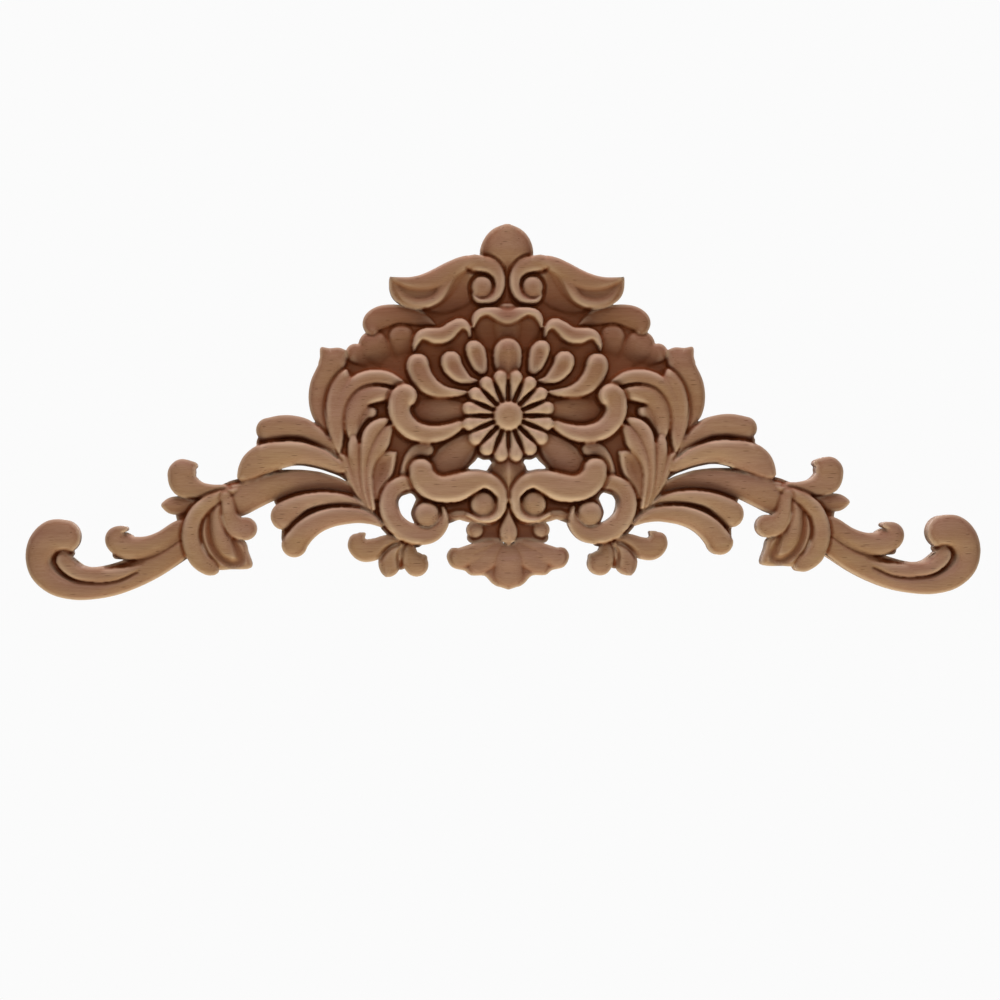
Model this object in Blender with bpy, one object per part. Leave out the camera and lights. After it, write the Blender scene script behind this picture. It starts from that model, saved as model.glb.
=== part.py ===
"""Carved wood applique: one board-backed carving, symmetric about x = 0, its flat back on the plane y = 0.

The right half is laid out as carved forms in millimetres. x runs outwards from the axis of symmetry, z
runs up from the centre of the rosette, and a height is measured forwards from the flat back. The forms are
laid one over the other on a raster of heights, which is then meshed with few, well placed vertices and
mirrored.
"""
import math

import bmesh
import bpy
import numpy as np
from mathutils import Vector
from mathutils.geometry import delaunay_2d_cdt

MM = 0.001

# Driving dimensions, millimetres
WIDTH = 500.0
DRAWN_WIDTH = 501.0
RASTER = 1.0
HALF_REACH = 256.0
BOTTOM = -98.5
TOP = 106.5
GROUND = 6.0
LEAST_HEIGHT = 3.0
GROOVE_FLOOR = 3.0
TOOL_ROUNDING = 3
OUTLINE_TOLERANCE = 0.24
AXIS_TOLERANCE = 0.2
FIRST_SPACING = 9.0
HEIGHT_TOLERANCE = 0.3
MOST_INNER_POINTS = 1690
EDGE_CLEARANCE = 0.7
EDGE_TURNS = 12
LEAST_GAIN = 0.02
SLIVER = 0.3
SLIVER_COST = 1e6
SAMPLES = np.array([(i, j, 6 - i - j) for i in range(6) for j in range(min(6, 7 - i))]) / 6

WOOD_COLOUR = (0.36, 0.215, 0.13, 1.0)
WOOD_ROUGHNESS = 0.72


# Curves and carved forms


def smooth_curve(stations, steps=8):
    """Catmull-Rom curve through stations; every column is carried along."""
    points = np.array(stations, float)
    points = np.vstack([2 * points[0] - points[1], points, 2 * points[-1] - points[-2]])
    t = np.linspace(0, 1, steps, endpoint=False)[:, None]
    spans = []
    for a, b, c, d in zip(points, points[1:], points[2:], points[3:]):
        bend = 2 * a - 5 * b + 4 * c - d
        twist = 3 * b - a - 3 * c + d
        spans.append(0.5 * (2 * b + (c - a) * t + bend * t**2 + twist * t**3))
    spans.append(points[-2:-1])
    return np.vstack(spans)


def stroke(stations, start, end=None, middle=None, drop=4.5, rise=0.75, full=2.2, lean=0.0, dish=0.0,
           keel=0.0, sharp=0.0, moat=1.5, moat_width=1.6, cut=False):
    """One lobe, leaf or scroll. stations: (x, z, half width); start, middle and end: heights of its crest.

    The section falls by drop to its edges; full squares it. lean lifts and sharp crisps the left side as
    the stations go, keel raises a midrib, dish hollows it, and moat digs a groove round it.
    """
    end = start if end is None else end
    middle = (start + end) / 2 if middle is None else middle
    rows = []
    for i, (x, z, half_width) in enumerate(stations):
        t = i / (len(stations) - 1)
        crest = (1 - t) * (1 - 2 * t) * start + 4 * t * (1 - t) * middle + t * (2 * t - 1) * end
        rows.append((x, z, half_width, crest))
    return dict(rows=rows, drop=drop, rise=rise, full=full, lean=lean, dish=dish, keel=keel, sharp=sharp,
                moat=moat, moat_width=moat_width, cut=cut)


def plate(stations, level, round_over=1.0):
    """A flat web between the carved forms."""
    return stroke(stations, level, drop=round_over, rise=0.5, full=5.0, moat=0.0)


def groove(stations, depth):
    """A gouge cut along a curve."""
    return stroke(stations, depth, cut=True)


def ball(x, z, radius, crest, **shape):
    """A round boss."""
    return stroke([(x - 0.01, z, radius), (x + 0.01, z, radius)], crest, **shape)


def panel(outline, level, drop=1.5, reach=2.0, crown=0.0, tilt=(0.0, 0.0)):
    """A closed outline filled at one level, rounded over within reach of its edge.

    tilt: rise per millimetre of x and of z.
    """
    return dict(outline=outline, level=level, drop=drop, reach=reach, crown=crown, tilt=tilt)


# The forms, from the lowest to the highest


def ground_webs():
    return [
        panel([(-4, 86), (6, 82), (14, 80), (24, 72), (34, 60), (44, 55), (58, 54), (68, 50), (71, 42),
               (78, 38), (86, 30), (93, 26), (98, 10), (94, -6), (92, -18), (84, -30), (78, -42),
               (68, -54), (60, -58), (46, -58), (38, -56), (34, -50), (27, -50), (18, -52), (12, -54),
               (9, -60), (4, -62), (-4, -62)], GROUND, 1, 1),
        panel([(26, 72), (36, 64), (46, 56), (36, 50), (22, 52), (6, 56), (-3, 60), (-3, 80), (10, 82),
               (20, 79)], 7, 1, 2, tilt=(0, 0.1)),
        plate([(2, -60, 5), (12, -60.5, 4.5), (18.3, -63.5, 3)], 7.5),
        plate([(10, -55, 3), (22, -50, 3), (34, -50, 3)], GROUND),
        plate([(94, -14, 4), (104, -12.5, 4), (116, -13, 5), (126.4, -12.6, 4.2), (127.6, -17, 3.2)],
              5.5),
        plate([(96, -8, 4), (100.6, -6.6, 3.8)], 5.5),
        plate([(86, -31, 3), (96, -28.5, 3), (106, -26.5, 3), (116, -27, 3), (122, -28, 2)], 6),
        plate([(82, -41, 2.5), (96, -39.5, 3), (110, -40.5, 3), (119.8, -43.9, 2.4)], 5.5),
        plate([(84, -46, 4), (96, -47, 5), (106, -51, 5), (113.6, -57.8, 4), (114.6, -63, 4)], 5.5),
        plate([(84, -20, 4), (88, -19, 2)], 8.5),
        plate([(126, -26, 4), (134, -31, 3), (139, -34.6, 3), (143.7, -36, 3), (147, -37, 2.6)], 6),
        plate([(61, -60, 3), (64.5, -57.8, 2)], 6),
        plate([(47.5, -66, 2.5), (53, -66, 3)], 6),
        plate([(78, -47.3, 2), (81, -47.4, 2)], 5),
        plate([(35, -51.5, 2), (37.5, -53.5, 2)], 5),
        plate([(150, -42, 5), (156, -50, 7), (158, -60, 7)], 8),
        plate([(158, -43, 4), (168.6, -51.4, 4.5)], 7),
        plate([(197, -63.4, 2.4), (199.2, -62.2, 2.4)], 7),
        plate([(194, -71.5, 3), (203.8, -71.4, 2.3)], 7),
        plate([(54, -75, 3.5), (56.3, -77.8, 2.4)], 6),
        plate([(158, -42, 3), (166, -41.5, 2.5)], 7),
        plate([(168, -64, 6), (184, -72, 7), (198, -78.5, 5), (213, -82.2, 4.6), (222, -81.4, 4.6),
               (229, -77, 5), (234, -72, 5)], 7),
        plate([(228, -70.4, 2.1), (229.5, -69, 3)], 7),
        plate([(214, -84, 3), (222, -84.5, 3), (229, -81.5, 3.5), (234.5, -76, 3.5), (236, -70, 3)], 7.5),
    ]


def fan():
    base = panel([(46, 40), (52, 46), (62, 44), (73, 42), (80, 36), (84, 28), (76, 24), (62, 25), (50, 24)],
                 5.5, 1, 2, tilt=(0, 0.1))
    lobes = ([(54, 31, 4), (55, 36, 6), (55.5, 41.3, 6.9)], [(62, 28, 4), (66.5, 33, 6.5), (70, 37, 8)],
             [(70, 27, 3), (75, 30.5, 4.2), (79.5, 33, 5.1)])
    return [base] + [stroke(lobe, 5, 10, 8, drop=3.5, rise=0.6, moat=0.8) for lobe in lobes]


def back_scroll():
    return [stroke([(38, 48, 0.8), (43, 50.4, 3.2), (50, 52.5, 4.6), (58, 53.4, 5.2), (65.4, 52.1, 6),
                    (70, 49.5, 5.5), (70.9, 46, 3.6)], 8.5, 10, drop=3.5, moat=2)]


def crown():
    """The drop at the top, the winged blade beside it and the small scroll between them."""
    return [
        stroke([(0, 71, 0.5), (0, 76, 2.5), (0, 80, 5.5), (0, 84, 12.8), (0, 86.3, 13.6), (0, 89.5, 10.6),
                (0, 92.5, 7.4), (0, 95.5, 5)], 6.5, 14.5, 14, drop=7, full=2),
        panel([(15.5, 76), (19, 78.5), (25, 79), (31, 76), (34, 70), (37, 62), (41, 56), (33, 54), (24, 57),
               (19, 60.6), (20.4, 66), (19.6, 71)], 10, 0.5, 1, tilt=(0.08, 0.24)),
        stroke([(20, 80.6, 3.4), (25, 78.4, 4.2), (30, 74.4, 6.2), (35, 69.8, 8), (40, 66.4, 8.9),
                (45, 64.8, 8.6), (50, 64.5, 7.7), (54.3, 65.3, 6.2), (56.9, 67, 4.6), (59.2, 69.6, 2.5),
                (61, 72.3, 0.6)], 11.5, 10.5, 12, drop=3.5, moat=1.2, moat_width=1.5),
        stroke([(24, 78.5, 3.4), (28.5, 75.5, 3.6), (31.5, 71, 3.4), (33.8, 66, 3), (37, 61.6, 2.7),
                (42, 59.2, 2.6), (48, 59, 2.5), (53.4, 61.2, 2.4), (57, 65.5, 2), (59.5, 69.8, 1.2)],
               14.5, 11.5, 14, drop=4, rise=0.9, moat=0),
        stroke([(14, 81.4, 2.6), (20, 80.6, 3.4), (26, 78.2, 4.2), (32, 74.6, 4.6), (38, 71.4, 4.6),
                (44, 69.9, 4), (50, 69.6, 3), (55, 70.4, 2), (60, 71.8, 0.8)], 14.5, 13.5, 15.5, drop=4,
               rise=0.8, moat=0),
        stroke([(18, 64, 1), (16, 61.2, 1.6), (11.5, 60.3, 2), (6.5, 62.5, 2.6), (4, 68, 3),
                (4.8, 74.3, 3.5), (9.3, 78.7, 4.4), (17, 80, 4.3)], 12.5, 14, drop=3.5, moat=4.5,
               moat_width=1.9),
        ball(13.3, 67.7, 5.8, 14, drop=4.5, full=2.2, moat=3, moat_width=1),
    ]


def calyx():
    """The flared cups behind the petals: a hollow belly under a rolled rim."""
    return [
        panel([(-17, 50), (-12, 54), (12, 54), (18.2, 50.5), (18, 45), (15.5, 39), (10, 33), (-10, 33),
               (-15, 39)], 8.5, 3, 4, tilt=(0, 0.12)),
        stroke([(0, 52, 7.5), (0, 44, 7), (0, 38, 6)], 12.5, 9.5, drop=3.5, moat=0),
        panel([(19, 42), (22, 48), (30, 46), (38, 42), (46, 42), (49, 37), (47, 31), (40, 25), (30, 24),
               (22, 32)], 8, 2, 3, tilt=(0, 0.16)),
        stroke([(19.6, 42, 0.7), (20.6, 46, 1.8), (24.4, 48.3, 3.1), (28.6, 46, 4), (32.6, 42.8, 4.5),
                (37.4, 42, 4.4), (42, 42.9, 3.6), (45.8, 42, 2.6), (48, 38.4, 1.8), (49, 34.6, 0.7)],
               13.5, 13, 15.5, drop=4.5, rise=0.9, lean=-0.8, moat=2),
        stroke([(-6, 54, 3.2), (-3, 52.4, 3.8), (0, 51.6, 4), (3, 52.4, 3.8), (6.5, 54, 3.2),
                (10.5, 54.9, 2.4), (14.3, 54, 2.4), (16.9, 51.2, 2.1), (18, 46.8, 0.9)], 16, 13.5,
               drop=4.5, rise=0.9, lean=-0.8, moat=2),
    ]


def petals():
    shape = dict(drop=5, moat=2.5, moat_width=1.3)
    return [
        stroke([(21, 12.5, 0.8), (27, 12.3, 2.2), (34, 13, 3.4), (40, 15.5, 4.9), (44.5, 20, 5.9),
                (46.8, 25, 6.2), (47, 27, 6.1)], 13, 16, lean=0.8, **shape),
        stroke([(16, 18.5, 0.8), (20.5, 19, 2.2), (25, 21.5, 4.3), (28.5, 25.5, 5.4), (29.8, 28.7, 5.6)],
               13, 16.5, **shape),
        stroke([(13.5, 24.5, 3), (15, 28, 4.6), (16.5, 33, 5.4), (17.8, 35.3, 4.6)], 14, 16.5, **shape),
        stroke([(0, 22, 3), (0, 27, 7), (0, 31, 7.8), (0, 33.5, 7.5)], 14, 17, keel=0.15, **shape),
    ]


def rosette():
    """Sixteen club-shaped petals round a domed button; the half-petals left of the axis come with them."""
    forms = [ball(0, 0, 21, 9, drop=1, moat=0)]
    for k in range(-4, 5):
        angle = math.radians(11.25 + 22.5 * k)
        c, s = math.cos(angle), math.sin(angle)
        club = [(r * c, r * s, half) for r, half in ((7, 0.7), (13, 1.6), (17, 2.7), (20.4, 3.9))]
        forms.append(stroke(club, 15, 18.5, 17.5, drop=4, rise=1.1, moat=2, moat_width=1.5))
    forms.append(ball(0, 0, 7.8, 20, drop=5, moat=2, moat_width=2))
    return forms


def side_scrolls():
    """The hooked scroll beside the rosette, the dome inside it and the leaves under it."""
    return [
        stroke([(26, 3, 5), (36, 3, 7), (44, 3, 6)], 11, 9, drop=3, moat=0),
        stroke([(25, -4.5, 2.4), (30, -7.2, 3.6), (36, -9, 4.4), (43, -9.2, 4.9), (50, -7, 5.3),
                (55, -2, 5.7), (57, 4, 6), (55.5, 9.5, 6.4), (53.5, 10.8, 6.2)], 14, 17.5, drop=4.5,
               moat=2.5, moat_width=2.5),
        stroke([(20, -13, 4.5), (25, -18, 7.5), (30, -22.5, 8.6), (32.5, -25, 8.2)], 12, 11, drop=3.5),
        stroke([(42, -17.5, 3.5), (47, -17.5, 3.5), (50.5, -20, 3), (53, -24, 2.5), (54.5, -28.5, 2.2),
                (55, -31, 2)], 11.5, 10.5, drop=3),
    ]


def buds():
    """The keeled bud under the rosette and the spike below it."""
    return [
        stroke([(0, -23, 5), (0, -25.5, 8.3), (0, -28, 9.3), (0, -31, 8), (0, -35, 4.8), (0, -39, 2.2),
                (0, -44, 1)], 11, 12.5, 14, drop=5, keel=0.34, moat=2),
        stroke([(0, -48, 0.5), (0, -52, 1.8), (0, -57, 3.6), (0, -61, 4.9), (0, -64, 2.8),
                (0, -66.8, 0.4)], 12, 13, 14.5, drop=4, keel=0.3, moat=2),
    ]


def upper_leaves():
    """The tall leaves beside the rosette, one folded over the next, and the curled bulb under them."""
    sunk = dict(drop=4, moat=2.5, moat_width=1.8)
    return [
        stroke([(92.5, -13, 0.8), (95.5, -6, 2.3), (98.5, 2, 4), (99, 9, 5), (97.5, 16, 5.8),
                (94.5, 22, 6.2), (90.5, 29, 6.4)], 10, 13, 12, lean=-0.8, drop=4, moat=2),
        panel([(84, 34.4), (88, 35.9), (93, 35.6), (97.6, 36), (98, 31), (98.6, 26), (92, 22), (86, 26)],
              12, 2, 3),
        stroke([(88, -19, 1.2), (89.8, -11, 3), (91, -3, 3.9), (91, 5, 4.3), (89, 12, 4.9), (86, 18, 4.6),
                (84.6, 23.4, 1.4)], 12, 12.5, 14, lean=-0.8, sharp=-0.4, **sunk),
        stroke([(87.5, -16, 1.2), (87.8, -8, 2.6), (87.5, 0, 3.6), (85.6, 8, 4.3), (82, 14.3, 4.4),
                (76.6, 18.6, 4.4), (70, 20.5, 4.1), (63, 20, 3.7), (57, 17.8, 2.4), (53.5, 16.5, 0.8)],
               12, 11.5, 14, lean=-0.8, drop=4.5, moat=0),
        stroke([(80.5, -14, 1.5), (81.5, -8, 3.2), (81.3, -1, 4.1), (79.2, 5, 4.7), (75.3, 9.6, 4.9),
                (70, 11.5, 4.6), (65.5, 11.8, 4), (62.5, 12, 3)], 12, 12.5, 14, drop=5, lean=-0.6,
               moat=2.8, moat_width=1.8),
        groove([(62, 6.5, 3), (65.5, 4.6, 4.2), (68.5, 1.5, 2.5)], 4),
        stroke([(79.5, -9, 1.2), (78.6, -4.5, 2.6), (76.3, -0.2, 3.1), (73.4, 2, 3.2), (71.3, 2, 3.1)],
               10.5, 12, drop=3.5, moat=2.5),
    ]


def acanthus():
    """The spray of pointed leaves that springs from the foot of the long lobes."""
    return [
        stroke([(70, -53, 1), (74, -46.5, 1.5), (77.6, -40, 2.1), (80.2, -34, 2.8), (82.7, -28.8, 3.2),
                (85, -24.9, 3.2), (86.6, -22, 2.6), (87.5, -21, 1.6)], 11, 12, 13, drop=3.5, lean=0.4,
               moat=1.5, moat_width=1.2),
        stroke([(71, -50, 1), (75, -43, 1.6), (77, -36, 2.5), (78.2, -30, 3), (79.4, -24, 3.5),
                (80.5, -19, 3.6), (80.8, -15, 3.2), (80.9, -12.2, 2.4), (81.4, -11.4, 1.6)], 11.5, 12.5,
               14, drop=4, moat=1.6, moat_width=1.2),
        stroke([(72.5, -47, 1.2), (74.2, -40, 1.8), (75, -33, 2.2), (75.1, -26, 2.6), (74.7, -20, 3),
                (73.6, -14, 3.8), (71.6, -9, 4.4), (68.4, -5.2, 3.8), (64.8, -2.8, 2.3), (63, -2, 1.2)],
               12.5, 11.5, 15, drop=4.5, lean=-0.8, moat=2, moat_width=1.4),
        panel([(57.9, -18.4), (62, -18), (66.5, -18.6), (69.5, -20.4), (71.4, -24), (72.4, -31),
               (71, -38), (68.6, -44), (66, -38), (61, -32), (59, -26)], 12.5, 3, 2, crown=-5),
        stroke([(70, -48, 1), (71.2, -42, 1.4), (72, -36, 1.6), (72.3, -30, 1.7), (71.6, -25, 2),
                (69.6, -19.8, 2.7), (66.2, -14.6, 4), (64, -10, 3.2), (62, -6.4, 2), (61, -4.8, 0.9)],
               13, 11, 14.5, drop=4, lean=-0.6, moat=1.8, moat_width=1.1),
    ]


def long_lobes():
    """The sweeping lobes of the arm's foot.

    Each falls towards its lower side and is undercut by the next.
    """
    shape = dict(lean=1.1, sharp=0.55, moat=3.5, moat_width=2)
    return [
        stroke([(90, -20.3, 0.8), (94.5, -14.8, 3), (100, -10, 4.4), (106, -6.5, 5.3), (112, -5.3, 5.8),
                (118, -5.3, 6), (125, -7, 6.3)], 10, 13.5, 13.5, drop=5.5, **shape),
        stroke([(88, -26.6, 3.1), (91.5, -24.8, 3.6), (97, -22, 4.6), (104, -19.6, 5.4), (111, -18.7, 6.1),
                (118, -20, 7.4), (125.6, -21.7, 8.2), (130.6, -24.5, 8), (133.5, -27.7, 7.1),
                (136.2, -30.9, 5)], 12, 13, 14.5, drop=5, **shape),
        stroke([(77, -44, 0.8), (82, -38.5, 2.5), (88, -35.5, 3.4), (95, -34, 4.3), (102, -33.5, 4.9),
                (110, -33.8, 5.7), (118, -35.4, 6.4), (126, -37.7, 7), (134, -40.7, 7.8),
                (142, -43.6, 8.6), (149, -44.6, 7.6)], 7.5, 13, 10.5, drop=4, lean=1, sharp=0.3, moat=2.5),
        stroke([(74, -48.6, 0.8), (80, -44.9, 2.2), (87, -43.2, 3.1), (95, -42.8, 3.6), (102, -43.6, 4.1),
                (108, -45.4, 4.8), (113.3, -48.5, 6.1), (116.9, -51.2, 6.8), (117.7, -53, 5.8)], 10, 13,
               13, drop=5, **shape),
        stroke([(66.5, -56.6, 1.2), (72, -53.5, 2.7), (79, -51.7, 3.9), (86, -51.6, 4.7),
                (93, -52.6, 5.2), (100, -55.2, 5.6), (106, -59.3, 6.1), (110.2, -64.1, 6.4),
                (111.7, -66.6, 6.7)], 11, 12.5, 13, drop=4.5, **shape),
    ]


def lower_scrolls():
    """The S-scroll with its eye, the large hook below it, and the balls between them."""
    return [
        stroke([(17, -54, 2.4), (21, -52.6, 2.7), (26, -51.6, 2.6), (32, -53.5, 2.7)], 11.5, drop=3,
               moat=0),
        ball(17.3, -59.5, 4.4, 12, moat=1),
        stroke([(51, -35, 3.4), (56, -35.3, 4.2), (60.5, -38.5, 4.6), (62.8, -44, 4.9), (62, -50, 5.2),
                (58.5, -56, 5.4), (53, -60, 5.5), (46, -62.2, 5), (39.4, -61.1, 4.2), (34.7, -56, 3.3),
                (33.6, -51, 1.8), (34.3, -48, 1)], 12, 14, 15, lean=1, sharp=0.2, full=2.6, moat=2),
        ball(42.7, -51.3, 6.8, 16, drop=6, full=2, moat=3, moat_width=1.1),
        stroke([(21.5, -51.4, 0.8), (19, -52.6, 1.2), (15.5, -54, 1.4), (11, -54.2, 1.7),
                (6.5, -52.3, 2.3), (3.8, -48, 2.8), (3.5, -42.5, 2.9), (4.9, -38.8, 3.6), (9, -34.8, 4.2),
                (14, -33.3, 4.9), (20, -34.7, 6.4), (27, -37.3, 7.4), (34, -38.2, 7.1), (39.5, -37, 7.2),
                (43.3, -34, 7), (45.3, -30.5, 6.6), (45.7, -28.3, 6.5)], 14, 15.5, 17, drop=5.5, full=2.8,
               moat=3, moat_width=2),
        ball(13.3, -46.3, 6.8, 15.5, drop=6, full=2.2, moat=2.5, moat_width=0.9),
    ]


def pendant():
    """The shell that hangs under the spike, its top heart-shaped and its lobes radiating from there."""
    crease = dict(drop=3, rise=0.45, moat=1.3, moat_width=1)
    return [
        panel([(-3, -66.8), (0, -66.9), (3, -66.4), (6, -64.7), (9.5, -63.9), (14, -65.2), (18, -66.6),
               (24, -69), (29.5, -69.1), (32, -73.5), (29.3, -79), (22.9, -80.8), (19.4, -83.3),
               (12.4, -83.6), (8.2, -87.7), (4.3, -89.5), (-4.3, -89.5)], 10.5, 3, 2.5),
        stroke([(6, -68.6, 4), (14, -70.2, 4.6), (21, -72.6, 4.9), (25.5, -74.2, 5)], 11, 12.5, 12.5,
               **crease),
        stroke([(4, -70.5, 4), (9, -74, 4.8), (15.8, -77.3, 5.2)], 11.5, 12, 12.5, **crease),
        stroke([(0, -71.5, 4.5), (0, -76, 6.6), (0, -81.5, 7.8)], 12, 12.5, 13.5, **crease),
    ]


def trefoil():
    return [
        plate([(53, -65, 2.5), (57, -66, 2.5)], 7),
        stroke([(52, -65.5, 3), (52.3, -69.5, 3.9), (51.2, -74.3, 5), (48.2, -77.4, 6.3)], 11, 12.5,
               drop=4.5),
        stroke([(46, -76, 3.6), (44.2, -74, 1.8)], 11.5, 10, drop=2.5, moat=0),
        stroke([(57.5, -65, 1.5), (63, -65.7, 3.8), (69, -69, 5.5), (75, -70, 5.9), (78.4, -67.7, 5.4),
                (79.2, -65.5, 4.4)], 11, 11.5, drop=4),
        stroke([(77.5, -63, 2.5), (75.3, -61.3, 0.8)], 10, drop=2, moat=0),
        stroke([(56, -66.5, 1), (59.5, -70, 3.2), (61.9, -74.5, 5.5), (62.3, -78, 5.4),
                (63.5, -81.5, 2.3), (64.2, -83.2, 0.6)], 11.5, 12, drop=4, moat=2),
        groove([(53, -66, 0.7), (56, -69.2, 1.3), (57.5, -73, 1.4), (57.2, -79, 0.9)], 3),
        groove([(57, -66.6, 0.7), (62, -68.5, 1.2), (65, -71.4, 1.3), (67.2, -75, 0.9)], 3),
    ]


def arm():
    """The scrolled end: bud, small scrolls, long arm with its hooked head, and the leafy knuckle."""
    return [
        stroke([(164, -44.5, 1.4), (169, -45.7, 4.2), (174, -46, 4.7), (178, -45.8, 2.4),
                (180, -45.8, 0.6)], 9.5, 10.5, drop=4, keel=0.1),
        stroke([(148, -38.7, 3.5), (155, -38.7, 3.7), (162, -37.7, 4.6), (168.4, -34.9, 7),
                (170.2, -30.2, 7), (169.5, -28.6, 6.8)], 12, 13, drop=4, full=2.6, moat=2.2),
        stroke([(168, -26, 4), (164, -25.3, 2), (162.6, -25.6, 0.8)], 12, 10, drop=2, moat=0),
        stroke([(165, -63.5, 7), (175, -70.6, 6.7), (185, -77.1, 6.7), (195, -82.3, 6.5), (205, -86, 6.4),
                (215, -88.6, 5.7), (225, -89.5, 5.1), (235, -86.7, 5.5), (242, -80.5, 5.9),
                (243.9, -73, 6.5), (241.4, -66, 7.8), (236.3, -61.6, 8.5), (231.1, -61.9, 8.7)], 11.5,
               13.5, 12, full=2.4, moat=2),
        stroke([(188, -76.5, 0.8), (196, -79.3, 2), (203, -81.2, 3.2), (210, -81.9, 3.8),
                (218, -81.7, 3.8), (224.4, -80.4, 3.8), (229.2, -76.5, 4.3), (230.9, -73.9, 4.5)], 10.5,
               12, 12.5, drop=4, lean=-0.5, moat=4, moat_width=1.8),
        stroke([(165, -55.5, 4), (172, -58.7, 4.8), (180, -64, 5), (188, -67.4, 5.6), (196, -68.2, 6.2),
                (202, -66, 6), (204.2, -62.6, 5.2), (202.5, -58.8, 2.4), (199, -58, 1.2)], 10.5, 12.5,
               12.5, drop=4.5, moat=2.5, moat_width=1.4),
        panel([(150, -46), (147, -56), (141, -62), (137, -65.5), (135.8, -70), (134, -78.4), (145, -79.3),
               (150.5, -79.6), (155, -78), (158.5, -70), (161, -60), (158, -50), (153, -44)], 12, 3, 4,
              crown=0.5),
        groove([(143.5, -64, 1.5), (140.9, -69.5, 2.6), (139.9, -74.6, 3), (144, -76, 2.8),
                (150, -73, 2.6), (154.4, -66.5, 2.2), (156.2, -59, 1.8), (156, -51, 1.2)], 2.6),
        stroke([(151, -46, 2), (151.3, -54, 3), (150, -62, 3.4), (147, -69.5, 2.6)], 13, 12.5, 14,
               drop=2.5, moat=0),
        stroke([(141, -37.6, 0.8), (150, -41, 2.6), (158.2, -45.8, 4), (163.4, -52, 4.3),
                (165.5, -60, 4.7), (164.6, -67, 4.9), (161.2, -73.8, 4.9), (156.6, -77.8, 4.3),
                (154, -79.3, 3)], 12.5, 12.5, 14.5, drop=4, lean=0.5, moat=3.5, moat_width=1.6),
        stroke([(147, -42, 3), (146, -46, 3.3), (145, -52, 4.2), (141.6, -57.3, 5.4), (137.2, -58.3, 6)],
               13, 13, 14.5, drop=4.5, lean=0.8, sharp=0.3, moat=2.5),
    ]


PIERCINGS = (
    [(83.6, -34.2), (88, -31.1), (93, -29.1), (98, -27.4), (103, -26.2), (108, -25.4), (113, -25.6),
     (118.6, -27.3), (113, -27.4), (108, -27.5), (103, -28), (98, -28.8), (93, -30.4), (88, -32.1)],
    [(8, -24.3), (9.4, -22.7), (12.5, -22.7), (15.3, -21.5), (17, -23.4), (20.6, -27.2), (15.5, -27.6),
     (11, -28.4), (9.5, -26.3)],
    [(48, -43.4), (49, -41.4), (50.8, -40.2), (53.5, -40.9), (55.8, -41.9), (57.3, -45), (56.6, -49.6),
     (55, -52.3), (52, -54.8), (49, -55.9), (50, -53.5), (50.7, -50.5), (49.8, -47.4)],
)


# Raster of heights


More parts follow.
